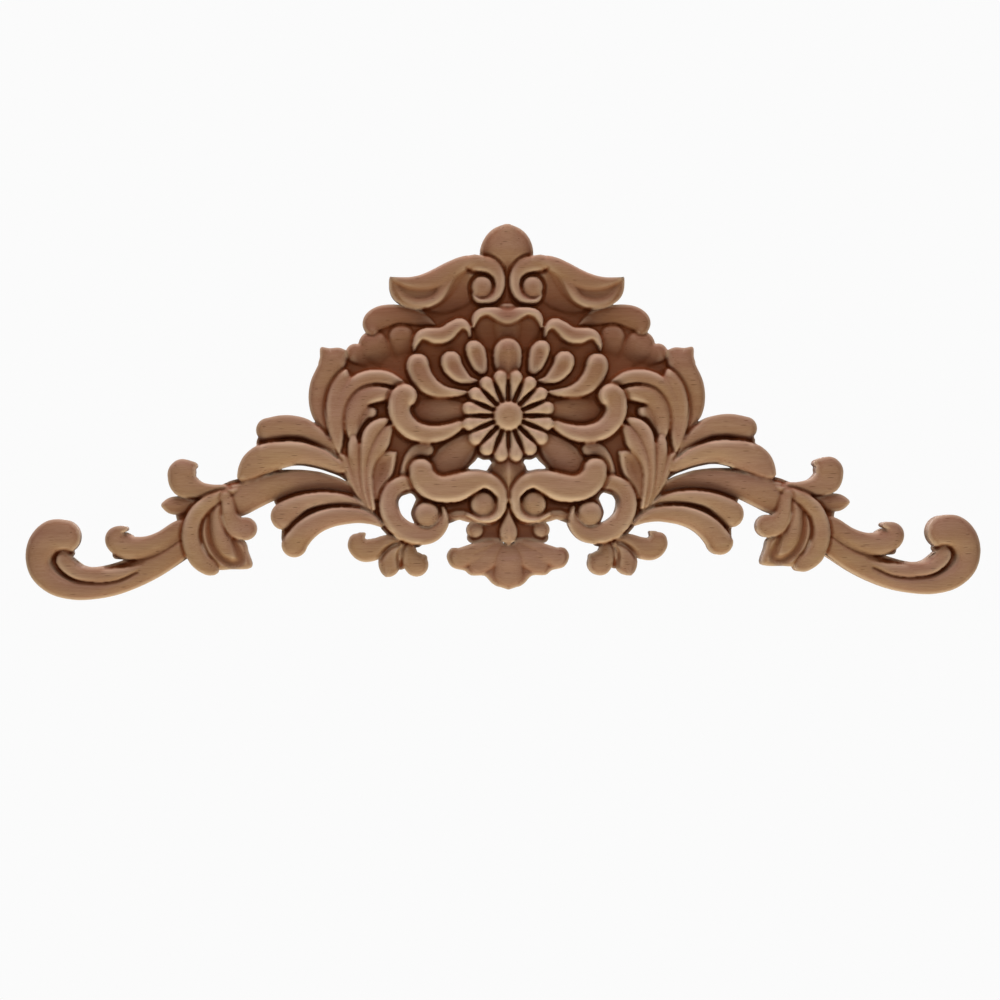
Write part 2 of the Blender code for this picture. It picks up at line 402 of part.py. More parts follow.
class Relief:
    """Heights of the front above the flat back, and the distance to the outline, below 0 on the wood."""

    def __init__(self, step):
        self.step = step
        self.xs = np.arange(-2.5 * step, HALF_REACH, step)
        self.zs = np.arange(BOTTOM, TOP, step)
        self.x, self.z = np.meshgrid(self.xs, self.zs)
        self.height = np.zeros(self.x.shape)
        self.outside = np.full(self.x.shape, 60.0)
        for group in (ground_webs, fan, back_scroll, crown, calyx, buds, petals, rosette, upper_leaves,
                      side_scrolls, acanthus, long_lobes, trefoil, pendant, lower_scrolls, arm):
            for form in group():
                self.lay(form)
        for hole in PIERCINGS:
            box, depth = self.depth_within(hole)
            self.outside[box] = np.maximum(self.outside[box], depth)
        wood = (self.outside < 0).astype(float)
        self.height = np.maximum(self.height, LEAST_HEIGHT) * wood
        for _ in range(TOOL_ROUNDING):
            self.height, wood = rounded(self.height), rounded(wood)
        self.height /= np.maximum(wood, 1e-9)

    def lay(self, form):
        if "outline" in form:
            self.lay_panel(form)
        else:
            self.lay_stroke(form)

    def window(self, x, z, reach):
        """The part of the raster within reach of some points."""
        i0, i1 = np.searchsorted(self.xs, [x.min() - reach, x.max() + reach])
        j0, j1 = np.searchsorted(self.zs, [z.min() - reach, z.max() + reach])
        return np.s_[j0:j1, i0:i1]

    def depth_within(self, outline):
        """The raster round a closed outline, and the distance to it there, above 0 inside."""
        ring = smooth_curve(list(outline) + [outline[0]], 4)
        box = self.window(ring[:, 0], ring[:, 1], 4)
        x, z = self.x[box], self.z[box]
        inside = np.zeros(x.shape, bool)
        nearest = np.full(x.shape, 1e9)
        for (ax, az), (bx, bz) in zip(ring, ring[1:]):
            dx, dz = bx - ax, bz - az
            if dz != 0:
                inside ^= ((az > z) != (bz > z)) & (x < dx * (z - az) / dz + ax)
            t = np.clip(((x - ax) * dx + (z - az) * dz) / max(dx * dx + dz * dz, 1e-9), 0, 1)
            nearest = np.minimum(nearest, np.hypot(x - ax - t * dx, z - az - t * dz))
        return box, np.where(inside, nearest, -nearest)

    def lay_panel(self, form):
        box, depth = self.depth_within(form["outline"])
        q = np.clip(1 - depth / form["reach"], 0, 1)
        top = form["level"] - form["drop"] * (1 - np.sqrt(1 - q * q))
        top += form["crown"] * np.clip(depth, 0, 12) / 12
        middle = np.mean(form["outline"], axis=0)
        top += form["tilt"][0] * (self.x[box] - middle[0]) + form["tilt"][1] * (self.z[box] - middle[1])
        height = self.height[box]
        self.height[box] = np.where(depth > 0, np.maximum(height, top), height)
        self.outside[box] = np.minimum(self.outside[box], -depth)

    def lay_stroke(self, form):
        rows = smooth_curve(form["rows"])
        box = self.window(rows[:, 0], rows[:, 1], rows[:, 2].max() + 4)
        x, z, height = self.x[box], self.z[box], self.height[box]
        across = np.full(x.shape, 1e6)
        side, width, crest = np.zeros(x.shape), np.ones(x.shape), np.zeros(x.shape)
        for a, b in zip(rows, rows[1:]):
            dx, dz = b[0] - a[0], b[1] - a[1]
            length = max(math.hypot(dx, dz), 1e-6)
            t = np.clip(((x - a[0]) * dx + (z - a[1]) * dz) / length**2, 0, 1)
            here = np.maximum(a[2] + t * (b[2] - a[2]), 0.15)
            ex, ez = x - a[0] - t * dx, z - a[1] - t * dz
            ratio = np.hypot(ex, ez) / here
            nearer = ratio < across
            across = np.where(nearer, ratio, across)
            side = np.where(nearer, (dx * ez - dz * ex) / length / here, side)
            width = np.where(nearer, here, width)
            crest = np.where(nearer, a[3] + t * (b[3] - a[3]), crest)
        inside = across < 1
        q = np.clip(across, 0, 1)
        if form["cut"]:
            dug = np.maximum(height - crest * (1 - q * q) ** 1.2, np.minimum(height, GROOVE_FLOOR))
            self.height[box] = np.where(inside, dug, height)
            return
        full = form["full"]
        fall = np.minimum(form["rise"] * width, form["drop"]) * (1 - form["sharp"] * np.clip(side, -1, 1))
        swell = 1 - q * q
        top = crest - fall * (1 - (1 - q**full) ** (1 / full)) + form["lean"] * side * np.sqrt(swell)
        top -= form["dish"] * width * swell**1.5
        top += form["keel"] * width * np.clip(1 - np.abs(side) * 1.8, 0, 1) ** 1.5 * np.sqrt(swell)
        gap = (across - 1) * width
        if form["moat"] > 0:
            fade = np.clip(width / (0.5 * rows[:, 2].max()), 0, 1)
            dug = height - form["moat"] * fade * (1 - np.clip(gap / form["moat_width"], 0, 1)) ** 1.3
            dug = np.maximum(dug, np.minimum(height, GROOVE_FLOOR))
            beside = ~inside & (gap < form["moat_width"]) & (height < crest + 0.5)
            height = np.where(beside, dug, height)
        self.height[box] = np.where(inside, np.maximum(height, top), height)
        self.outside[box] = np.minimum(self.outside[box], gap)

    def sample(self, x, z):
        """Height at points, between the raster's own."""
        gx = np.clip((np.asarray(x) - self.xs[0]) / self.step, 0, len(self.xs) - 1.001)
        gz = np.clip((np.asarray(z) - self.zs[0]) / self.step, 0, len(self.zs) - 1.001)
        i, j = gx.astype(int), gz.astype(int)
        u, v = gx - i, gz - j
        low = self.height[j, i] * (1 - u) + self.height[j, i + 1] * u
        high = self.height[j + 1, i] * (1 - u) + self.height[j + 1, i + 1] * u
        return low * (1 - v) + high * v

    def distance_out(self, points):
        """Distance from points to the outline, less than 0 on the wood."""
        i = np.clip(np.rint((points[:, 0] - self.xs[0]) / self.step).astype(int), 0, len(self.xs) - 1)
        j = np.clip(np.rint((points[:, 1] - self.zs[0]) / self.step).astype(int), 0, len(self.zs) - 1)
        return self.outside[j, i]


def rounded(grid):
    """One pass of a small binomial blur, which rounds every crease as a ball-nosed cutter leaves it."""
    p = np.pad(grid, 1, mode="edge")
    p = (p[:-2] + 2 * p[1:-1] + p[2:]) / 4
    return (p[:, :-2] + 2 * p[:, 1:-1] + p[:, 2:]) / 4


# Outline of the right half


def contour_rings(relief):
    """Closed rings where the wood ends, the wood on one side and the axis as one straight edge."""
    field = np.maximum(relief.outside, -relief.x)
    rows, columns = field.shape
    wood = field < 0
    corners = wood[:-1, :-1].astype(int) + 2 * wood[:-1, 1:] + 4 * wood[1:, 1:] + 8 * wood[1:, :-1]
    links = {}
    edges_of_case = {1: (3, 0), 2: (0, 1), 3: (3, 1), 4: (1, 2), 6: (0, 2), 7: (3, 2), 8: (2, 3), 9: (2, 0),
                     11: (2, 1), 12: (1, 3), 13: (1, 0), 14: (0, 3)}
    for j, i in np.argwhere((corners > 0) & (corners < 15)):
        edges = ((j, i, 0), (j, i + 1, 1), (j + 1, i, 0), (j, i, 1))
        case = corners[j, i]
        crossed = {5: ((3, 2), (1, 0)), 10: ((0, 3), (2, 1))}
        pairs = crossed.get(case) or (edges_of_case[case],)
        for start, end in pairs:
            links[edges[start]] = edges[end]
    rings = []
    while links:
        first = next(iter(links))
        ring, edge = [], first
        while edge in links:
            ring.append(crossing(relief, field, edge))
            edge = links.pop(edge)
        rings.append(np.array(ring))
    return rings


def crossing(relief, field, edge):
    """Point on one raster edge where the field passes through 0."""
    j, i, upright = edge
    a = field[j, i]
    b = field[j + 1, i] if upright else field[j, i + 1]
    t = min(max(a / (a - b), 0.02), 0.98)
    x = relief.xs[i] + (0 if upright else t * relief.step)
    z = relief.zs[j] + (t * relief.step if upright else 0)
    return (0.0 if x < 0.35 * relief.step else x, z)


def thinned(points, tolerance):
    """Keep only the points that a line needs to stay within the tolerance."""
    if len(points) < 3:
        return list(range(len(points)))
    a, b = points[0], points[-1]
    chord = b - a
    length = max(math.hypot(*chord), 1e-9)
    off = np.abs(chord[0] * (points[1:-1, 1] - a[1]) - chord[1] * (points[1:-1, 0] - a[0])) / length
    worst = int(off.argmax())
    if off[worst] < tolerance:
        return [0, len(points) - 1]
    worst += 1
    left = thinned(points[:worst + 1], tolerance)
    right = thinned(points[worst:], tolerance)
    return left + [worst + k for k in right[1:]]


def thinned_ring(ring, tolerance):
    far = int(np.hypot(*(ring - ring[0]).T).argmax())
    first = ring[:far + 1]
    second = np.vstack([ring[far:], ring[:1]])
    kept = list(first[thinned(first, tolerance)]) + list(second[thinned(second, tolerance)][1:-1])
    kept = [p for k, p in enumerate(kept) if math.dist(p, kept[k - 1]) > 0.25 * RASTER]
    return np.array(kept)


def with_axis_points(ring, relief):
    """Split a ring's straight edge on the axis where the profile of the front bends."""
    points = []
    for a, b in zip(ring, np.roll(ring, -1, axis=0)):
        points.append(a)
        if a[0] == 0 and b[0] == 0:
            count = max(int(abs(b[1] - a[1]) / relief.step), 2)
            z = np.linspace(a[1], b[1], count)
            profile = np.column_stack([z, relief.sample(np.zeros(count), z)])
            points += [(0.0, z[k]) for k in thinned(profile, AXIS_TOLERANCE)[1:-1]]
    return np.array(points)


# Triangles of the right half


def triangulate(points, rings):
    """Constrained triangles over the points, only where there is wood."""
    edges, start = [], 0
    for ring in rings:
        edges += [(start + k, start + (k + 1) % len(ring)) for k in range(len(ring))]
        start += len(ring)
    flat = [Vector((x, z)) for x, z in points]
    verts, _, faces, origin, _, _ = delaunay_2d_cdt(flat, edges, [], 0, 1e-6)
    corners = np.array([tuple(v) for v in verts])
    triangles = np.array([tuple(f) for f in faces])
    middle = corners[triangles].mean(axis=1)
    return corners, triangles[covered(middle, rings)]


def covered(points, rings):
    """True for points inside the rings by the odd-even rule."""
    inside = np.zeros(len(points), bool)
    px, pz = points[:, 0], points[:, 1]
    for ring in rings:
        for (ax, az), (bx, bz) in zip(ring, np.roll(ring, -1, axis=0)):
            if az != bz:
                inside ^= ((az > pz) != (bz > pz)) & (px < (bx - ax) * (pz - az) / (bz - az) + ax)
    return inside


def misses(corners, triangles, relief):
    """Sample points over each triangle, how far its plane misses the relief there, and twice its area."""
    heights = relief.sample(corners[:, 0], corners[:, 1])
    xz = corners[triangles]
    at = np.einsum("mk,nkd->nmd", SAMPLES, xz)
    flat = heights[triangles] @ SAMPLES.T
    error = np.abs(relief.sample(at[:, :, 0], at[:, :, 1]) - flat)
    (ax, az), (bx, bz), (cx, cz) = (xz[:, k].T for k in range(3))
    return at, error, (bx - ax) * (cz - az) - (cx - ax) * (bz - az)


def misfit(corners, triangles, relief):
    """Cost of each triangle; one that is a sliver costs too much to be made."""
    _, error, area = misses(corners, triangles, relief)
    sides = corners[triangles] - corners[np.roll(triangles, 1, axis=1)]
    longest = np.hypot(sides[:, :, 0], sides[:, :, 1]).max(axis=1)
    return np.where(area < SLIVER * longest, SLIVER_COST, (area / 2 + 1.0) * (error**2).mean(axis=1))


def place_points(relief, rings):
    """Start from an even grid, then add points where the surface is missed most."""
    border = np.vstack(rings)
    x, z = np.meshgrid(np.arange(FIRST_SPACING / 2, HALF_REACH, FIRST_SPACING),
                       np.arange(BOTTOM, TOP, FIRST_SPACING))
    grid = np.column_stack([x.ravel(), z.ravel()])
    points = np.vstack([border, grid[relief.distance_out(grid) < -0.2 * FIRST_SPACING]])
    limit = len(border) + MOST_INNER_POINTS
    while len(points) < limit:
        corners, triangles = triangulate(points, rings)
        at, error, _ = misses(corners, triangles, relief)
        worst = error.argmax(axis=1)
        row = np.arange(len(worst))
        error, at = error[row, worst], np.round(at[row, worst], 3)
        wanted = (error > HEIGHT_TOLERANCE) & (relief.distance_out(at) < -EDGE_CLEARANCE)
        wanted &= at[:, 0] > EDGE_CLEARANCE
        order = np.flatnonzero(wanted)[np.argsort(-error[wanted], kind="stable")]
        order = order[:min(max(len(order) // 3, 40), limit - len(points))]
        if not len(order):
            break
        points = np.vstack([points, np.unique(at[order], axis=0)])
    return points


def turn_edges(corners, triangles, relief):
    """Turn the edge between two triangles where the other diagonal follows the carving better."""
    triangles = triangles.copy()
    for _ in range(EDGE_TURNS):
        cost = misfit(corners, triangles, relief)
        beside = {}
        for index, (a, b, c) in enumerate(triangles.tolist()):
            beside[a, b] = (index, c)
            beside[b, c] = (index, a)
            beside[c, a] = (index, b)
        pairs = [(left, beside[b, a][0], a, b, c, beside[b, a][1])
                 for (a, b), (left, c) in beside.items() if a < b and (b, a) in beside]
        left, right, a, b, c, d = np.array(pairs).T
        one, two = np.column_stack([c, d, b]), np.column_stack([d, c, a])
        turned = misfit(corners, one, relief) + misfit(corners, two, relief)
        gain = np.where(turned < SLIVER_COST, cost[left] + cost[right] - turned, 0)
        touched = set()
        for k in np.argsort(-gain, kind="stable"):
            if gain[k] < LEAST_GAIN:
                break
            if left[k] not in touched and right[k] not in touched:
                touched |= {left[k], right[k]}
                triangles[left[k]], triangles[right[k]] = one[k], two[k]
        if not touched:
            break
    return triangles


# The solid


def wood_material():
    material = bpy.data.materials.new("carved_wood")
    material.use_nodes = True
    shader = material.node_tree.nodes["Principled BSDF"]
    shader.inputs["Base Color"].default_value = WOOD_COLOUR
    shader.inputs["Roughness"].default_value = WOOD_ROUGHNESS
    shader.inputs["Metallic"].default_value = 0.0
    return material


def closed_body(corners, front, back, rings, relief):
    """Carved front, upright sides and flat back of both halves as one closed mesh."""
    scale = MM * WIDTH / DRAWN_WIDTH
    heights = relief.sample(corners[:, 0], corners[:, 1])
    mesh = bmesh.new()
    for mirror in (1, -1):
        face_verts = [mesh.verts.new((mirror * x * scale, -h * MM, z * scale))
                      for (x, z), h in zip(corners, heights)]
        back_verts = {}
        start = 0
        for ring in rings:
            loop = list(range(start, start + len(ring)))
            for k in loop:
                x, z = corners[k]
                back_verts[k] = mesh.verts.new((mirror * x * scale, 0.0, z * scale))
            for a, b in zip(loop, loop[1:] + loop[:1]):
                if corners[a][0] == 0 and corners[b][0] == 0:
                    continue
                mesh.faces.new((face_verts[a], face_verts[b], back_verts[b]))
                mesh.faces.new((face_verts[a], back_verts[b], back_verts[a]))
            start += len(ring)
        for triangle in front:
            mesh.faces.new([face_verts[k] for k in triangle])
        for triangle in back:
            mesh.faces.new([back_verts[k] for k in triangle])
    bmesh.ops.remove_doubles(mesh, verts=mesh.verts, dist=1e-6)
    bmesh.ops.recalc_face_normals(mesh, faces=mesh.faces)
    return mesh


def build_applique():
    relief = Relief(RASTER)
    rings = [with_axis_points(thinned_ring(ring, OUTLINE_TOLERANCE), relief)
             for ring in contour_rings(relief) if len(ring) > 8]
    points = place_points(relief, rings)
    corners, front = triangulate(points, rings)
    front = turn_edges(corners, front, relief)
    _, back = triangulate(np.vstack(rings), rings)
    mesh = closed_body(corners, front, back, rings, relief)
    data = bpy.data.meshes.new("applique")
    mesh.to_mesh(data)
    mesh.free()
    data.materials.append(wood_material())
    applique = bpy.data.objects.new("applique", data)
    bpy.context.scene.collection.objects.link(applique)
    return applique


def clear_scene():
    for item in list(bpy.data.objects):
        bpy.data.objects.remove(item, do_unlink=True)


clear_scene()
build_applique()
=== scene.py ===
"""Carved wood applique: the visible carving, at a finer pitch than the solid that it stands for.

The right half is laid out as carved forms in millimetres. x runs outwards from the axis of symmetry, z
runs up from the centre of the rosette, and a height is measured forwards from the flat back. The forms are
laid one over the other on a raster of heights, meshed where the surface bends, and mirrored.
"""

import math

import bmesh
import bpy
import numpy as np
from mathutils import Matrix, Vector
from mathutils.geometry import delaunay_2d_cdt


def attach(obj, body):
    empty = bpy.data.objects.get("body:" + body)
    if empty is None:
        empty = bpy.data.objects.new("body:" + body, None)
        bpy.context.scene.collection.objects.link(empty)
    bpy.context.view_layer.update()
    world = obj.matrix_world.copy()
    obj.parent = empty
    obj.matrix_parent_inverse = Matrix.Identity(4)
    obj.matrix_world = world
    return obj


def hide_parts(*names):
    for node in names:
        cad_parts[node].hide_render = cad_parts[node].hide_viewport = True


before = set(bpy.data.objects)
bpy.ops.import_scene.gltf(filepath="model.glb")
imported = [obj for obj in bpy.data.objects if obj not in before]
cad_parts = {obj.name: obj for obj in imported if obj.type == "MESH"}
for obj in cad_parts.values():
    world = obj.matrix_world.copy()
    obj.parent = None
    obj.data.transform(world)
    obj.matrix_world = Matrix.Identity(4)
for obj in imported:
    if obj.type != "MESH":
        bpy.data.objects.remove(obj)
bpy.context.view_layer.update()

MM = 0.001

# Sizes of the carving, millimetres
WIDTH = 500.0
DRAWN_WIDTH = 501.0
RASTER = 0.4
HALF_REACH = 256.0
BOTTOM = -98.5
TOP = 106.5
GROUND = 6.0
LEAST_HEIGHT = 3.0
GROOVE_FLOOR = 3.0
TOOL_ROUNDING = 3

# Sections of the forms: millimetres, degrees, shares and powers
SECTION = dict(drop=4, rise=0.75, full=2.2, lean=0, keel=0, sharp=0, moat=2, moat_width=1.6, cut=False)
CLUB_ANGLE = 22.5
WINDOW_MARGIN = 4
FAR_OUTSIDE = 60.0
OUTLINE_STEPS = 4
LEAST_HALF_WIDTH = 0.15
CROWN_REACH = 12
KEEL_NARROWING = 1.8
KEEL_POWER = 1.5
GROOVE_POWER = 1.2
MOAT_POWER = 1.3
MOAT_FADE = 0.5
MOAT_STEP = 0.5

# The outline: shares of one raster step, points and millimetres
CROSSING_MARGIN = 0.02
AXIS_SNAP = 0.35
LEAST_EDGE = 0.25
LEAST_RING = 8
OUTLINE_TOLERANCE = 0.03
AXIS_TOLERANCE = 0.02

# Density of the mesh
FIRST_SPACING = 1.6
FIRST_CLEARANCE = 0.2
HEIGHT_TOLERANCE = 0.03
MOST_INNER_POINTS = 46000
ADDED_SHARE = 3
LEAST_ADDED = 40
EDGE_CLEARANCE = 0.3
EDGE_TURNS = 4
LEAST_GAIN = 0.0005
SLIVER = 0.08
SLIVER_COST = 1e6
SPLIT = 6
SAMPLES = np.array([(i, j, SPLIT - i - j) for i in range(SPLIT)
                    for j in range(min(SPLIT, SPLIT + 1 - i))]) / SPLIT
SMOOTH_CORNER = 0.7
JOINED_WITHIN = 1e-6

# What the painted shade and highlights follow: blurs of the raster behind the first three, millimetres at
# the outline
MARKS = ("groove", "recess", "hollow", "rim")
REACHES = (9, 42, 800)
OUTLINE_FADE = 2.5
RIM_WIDTH = 1.6

# Colours of the wood, and of the shade and highlights painted on it
PINK_BROWN = (0.40, 0.237, 0.16, 1)
OCHRE_BROWN = (0.44, 0.284, 0.155, 1)
DARK_BAND = (0.26, 0.12, 0.062, 1)
DARK_FIBRE = (0.24, 0.125, 0.075, 1)
PALE_FIBRE = (0.56, 0.38, 0.26, 1)
PORE = (0.10, 0.045, 0.025, 1)
# Painted shade: the dark brown laid into grooves, recesses and hollows and above the rosette
PAINTED_SHADE_BROWN = (0.16, 0.036, 0.005, 1)
# Painted highlight: the pale tone laid on raised tops, ridges and along the outline
PAINTED_HIGHLIGHT = (0.67, 0.50, 0.36, 1)

# Figure: size of a patch along x, y and z in millimetres, then detail, roughness and warp of the noise
FIGURES = {
    "blotch": ((60, 18, 22), 2, 0.5, 0.4),
    "band": ((160, 7, 6), 3, 0.55, 0.3),
    "fibre": ((14, 0.55, 0.5), 3, 0.6, 0.0),
    "hair": ((5, 0.2, 0.2), 1, 0.5, 0.0),
}

# Layers of colour: what each follows, where it starts, where it is full, its strength there, the colour
FIGURE_LAYERS = (
    ("blotch", 0.36, 0.64, 1.0, OCHRE_BROWN),
    ("band", 0.35, 0.65, 0.38, DARK_BAND),
    ("fibre", 0.35, 0.7, 0.42, DARK_FIBRE),
    ("hair", 0.45, 0.75, 0.2, PALE_FIBRE),
)
# Painted shade in grooves, recesses and hollows, and painted highlights on tops, ridges and the outline
PAINTED_LIGHT_LAYERS = (
    ("hollow", -2.8, -0.4, 0.2, PAINTED_SHADE_BROWN),
    ("hollow", -0.4, 3.0, 0.7, PAINTED_SHADE_BROWN),
    ("recess", 0.0, 2.2, 0.6, PAINTED_SHADE_BROWN),
    ("groove", 0.08, 1.3, 0.75, PAINTED_SHADE_BROWN),
    ("recess", -0.4, -1.9, 0.62, PAINTED_HIGHLIGHT),
    ("groove", -0.15, -0.8, 0.16, PAINTED_HIGHLIGHT),
    ("rim", 0.0, 1.0, 0.7, PAINTED_HIGHLIGHT),
)

# Pores: size in millimetres, edge within a cell, choice of the cells that hold one, strength
PORE_SIZE = (9.0, 1.1, 1.1)
PORE_EDGE = (0.26, 0.13)
PORE_CHOICE = (0.58, 0.66)
PORE_STRENGTH = 0.62

# Painted shade over the fan above the rosette, metres and strength
SHADE_PATCH_HEIGHT = 0.045
SHADE_PATCH_RISE = (0.006, 0.058)
SHADE_PATCH_SPAN = (0.045, 0.14)
SHADE_PATCH_STRENGTH = 0.46

# Fine relief and surface of the wood
FIBRE_RELIEF = 0.5
HAIR_RELIEF = 0.25
PORE_RELIEF = 0.9
BUMP_STRENGTH = 0.35
BUMP_DISTANCE = 0.0003
ROUGH_FIBRE = (0.3, 0.7)
ROUGHNESS = (0.6, 0.74)
WOOD_SPECULAR = 0.2

# Studio, metres
FLOOR = -1.6
BACKDROP = 2.0
SWEEP = 0.7
SWEEP_POINTS = 13
STUDIO_FRONT = -4.0
STUDIO_TOP = 4.0
STUDIO_SIDE = 5.0
PAPER = (0.8, 0.8, 0.8, 1)
WHITE = (1, 1, 1, 1)
PAGE_WHITE = 0.965
FILL = 0.03

# Lamps: place and size in metres, power in watts, colour
LAMPS = {
    "key_above": ((-0.15, -0.36, 1.4), (1.6, 0.9), 19.5, (1.0, 0.8, 0.84)),
    "key_below": ((0.0, -0.4, -1.4), (1.6, 0.9), 22.0, (1.0, 0.93, 0.7)),
    "front": ((0.0, -1.6, 0.5), (1.2, 1.2), 10.8, (1.0, 0.99, 0.95)),
    "behind": ((0.0, 1.5, 0.6), (1.2, 1.2), 12.0, (1.0, 0.99, 0.95)),
}

# Camera: degrees, metres, millimetres of lens and sensor
YAW = 3.64
ROLL = 0.266
DISTANCE = 1.394
LENS = 95.82
SENSOR = 36
CLIP = (0.05, 50)
AIM = (-0.00406, -0.006, -0.04378)


# Curves and carved forms


def smooth_curve(stations, steps=8):
    """Catmull-Rom curve through stations; every column is carried along."""
    points = np.array(stations, float)
    points = np.vstack([2 * points[0] - points[1], points, 2 * points[-1] - points[-2]])
    t = np.linspace(0, 1, steps, endpoint=False)[:, None]
    spans = []
    for a, b, c, d in zip(points, points[1:], points[2:], points[3:]):
        bend = 2 * a - 5 * b + 4 * c - d
        twist = 3 * b - a - 3 * c + d
        spans.append(0.5 * (2 * b + (c - a) * t + bend * t**2 + twist * t**3))
    spans.append(points[-2:-1])
    return np.vstack(spans)


def stroke(stations, start, end=None, middle=None, **section):
    """One lobe, leaf or scroll. stations: (x, z, half width); start, middle and end: heights of its crest.

    The section falls by drop to its edges; full squares it. lean lifts and sharp crisps the left side as
    the stations go, keel raises a midrib, and moat digs a groove round it.
    """
    end = start if end is None else end
    middle = (start + end) / 2 if middle is None else middle
    rows = []
    for i, (x, z, half_width) in enumerate(stations):
        t = i / (len(stations) - 1)
        crest = (1 - t) * (1 - 2 * t) * start + 4 * t * (1 - t) * middle + t * (2 * t - 1) * end
        rows.append((x, z, half_width, crest))
    return SECTION | section | {"rows": rows}


def plate(stations, level):
    """A flat web between the carved forms."""
    return stroke(stations, level, drop=1.0, rise=0.5, full=5.0, moat=0.0)


def groove(stations, depth):
    """A gouge cut along a curve."""
    return stroke(stations, depth, cut=True)


def ball(x, z, radius, crest, **shape):
    """A round boss."""
    return stroke([(x - 0.01, z, radius), (x + 0.01, z, radius)], crest, **shape)


def panel(outline, level, drop=1.5, reach=2.0, crown=0.0, tilt=(0.0, 0.0)):
    """A closed outline filled at one level, rounded over within reach of its edge.

    tilt: rise per millimetre of x and of z.
    """
    return dict(outline=outline, level=level, drop=drop, reach=reach, crown=crown, tilt=tilt)


def club(k):
    """One of the club-shaped petals of the rosette, counted from the x axis."""
    angle = math.radians(CLUB_ANGLE / 2 + CLUB_ANGLE * k)
    c, s = math.cos(angle), math.sin(angle)
    stations = [(r * c, r * s, half) for r, half in ((7, 0.7), (13, 1.6), (17, 2.7), (20.4, 3.9))]
    return stroke(stations, 15, 18.5, 17.5, rise=1.1, moat_width=1.5)


# The forms, from the lowest to the highest

# The low webs that join the forms, and the ground behind the fan and the crown
FORMS = [
    panel([(-4, 86), (6, 82), (14, 80), (24, 72), (34, 60), (44, 55), (58, 54), (68, 50), (71, 42), (78, 38),
           (86, 30), (93, 26), (98, 10), (94, -6), (92, -18), (84, -30), (78, -42), (68, -54), (60, -58),
           (46, -58), (38, -56), (34, -50), (27, -50), (18, -52), (12, -54), (9, -60), (4, -62), (-4, -62)],
          GROUND, 1, 1),
    panel([(26, 72), (36, 64), (46, 56), (36, 50), (22, 52), (6, 56), (-3, 60), (-3, 80), (10, 82),
           (20, 79)], 7, 1, 2, tilt=(0, 0.1)),
] + [plate(*web) for web in (
    ([(2, -60, 5), (12, -60.5, 4.5), (18.3, -63.5, 3)], 7.5),
    ([(10, -55, 3), (22, -50, 3), (34, -50, 3)], GROUND),
    ([(94, -14, 4), (104, -12.5, 4), (116, -13, 5), (126.4, -12.6, 4.2), (127.6, -17, 3.2)], 5.5),
    ([(96, -8, 4), (100.6, -6.6, 3.8)], 5.5),
    ([(86, -31, 3), (96, -28.5, 3), (106, -26.5, 3), (116, -27, 3), (122, -28, 2)], 6),
    ([(82, -41, 2.5), (96, -39.5, 3), (110, -40.5, 3), (119.8, -43.9, 2.4)], 5.5),
    ([(84, -46, 4), (96, -47, 5), (106, -51, 5), (113.6, -57.8, 4), (114.6, -63, 4)], 5.5),
    ([(84, -20, 4), (88, -19, 2)], 8.5),
    ([(126, -26, 4), (134, -31, 3), (139, -34.6, 3), (143.7, -36, 3), (147, -37, 2.6)], 6),
    ([(61, -60, 3), (64.5, -57.8, 2)], 6),
    ([(47.5, -66, 2.5), (53, -66, 3)], 6),
    ([(78, -47.3, 2), (81, -47.4, 2)], 5),
    ([(35, -51.5, 2), (37.5, -53.5, 2)], 5),
    ([(150, -42, 5), (156, -50, 7), (158, -60, 7)], 8),
    ([(158, -43, 4), (168.6, -51.4, 4.5)], 7),
    ([(197, -63.4, 2.4), (199.2, -62.2, 2.4)], 7),
    ([(194, -71.5, 3), (203.8, -71.4, 2.3)], 7),
    ([(54, -75, 3.5), (56.3, -77.8, 2.4)], 6),
    ([(158, -42, 3), (166, -41.5, 2.5)], 7),
    ([(168, -64, 6), (184, -72, 7), (198, -78.5, 5), (213, -82.2, 4.6), (222, -81.4, 4.6),
      (229, -77, 5), (234, -72, 5)], 7),
    ([(228, -70.4, 2.1), (229.5, -69, 3)], 7),
    ([(214, -84, 3), (222, -84.5, 3), (229, -81.5, 3.5), (234.5, -76, 3.5), (236, -70, 3)], 7.5),
)]

# The three leaves behind the crown and the web under them
FORMS += [
    panel([(46, 40), (52, 46), (62, 44), (73, 42), (80, 36), (84, 28), (76, 24), (62, 25), (50, 24)], 5.5, 1,
          2, tilt=(0, 0.1)),
] + [
    stroke(leaf, 5, 10, 8, drop=3.5, rise=0.6, moat=0.8)
    for leaf in ([(54, 31, 4), (55, 36, 6), (55.5, 41.3, 6.9)], [(62, 28, 4), (66.5, 33, 6.5), (70, 37, 8)],
                 [(70, 27, 3), (75, 30.5, 4.2), (79.5, 33, 5.1)])
]

# The curled leaf over the fan
FORMS += [
    stroke([(38, 48, 0.8), (43, 50.4, 3.2), (50, 52.5, 4.6), (58, 53.4, 5.2), (65.4, 52.1, 6),
            (70, 49.5, 5.5), (70.9, 46, 3.6)], 8.5, 10, drop=3.5),
]

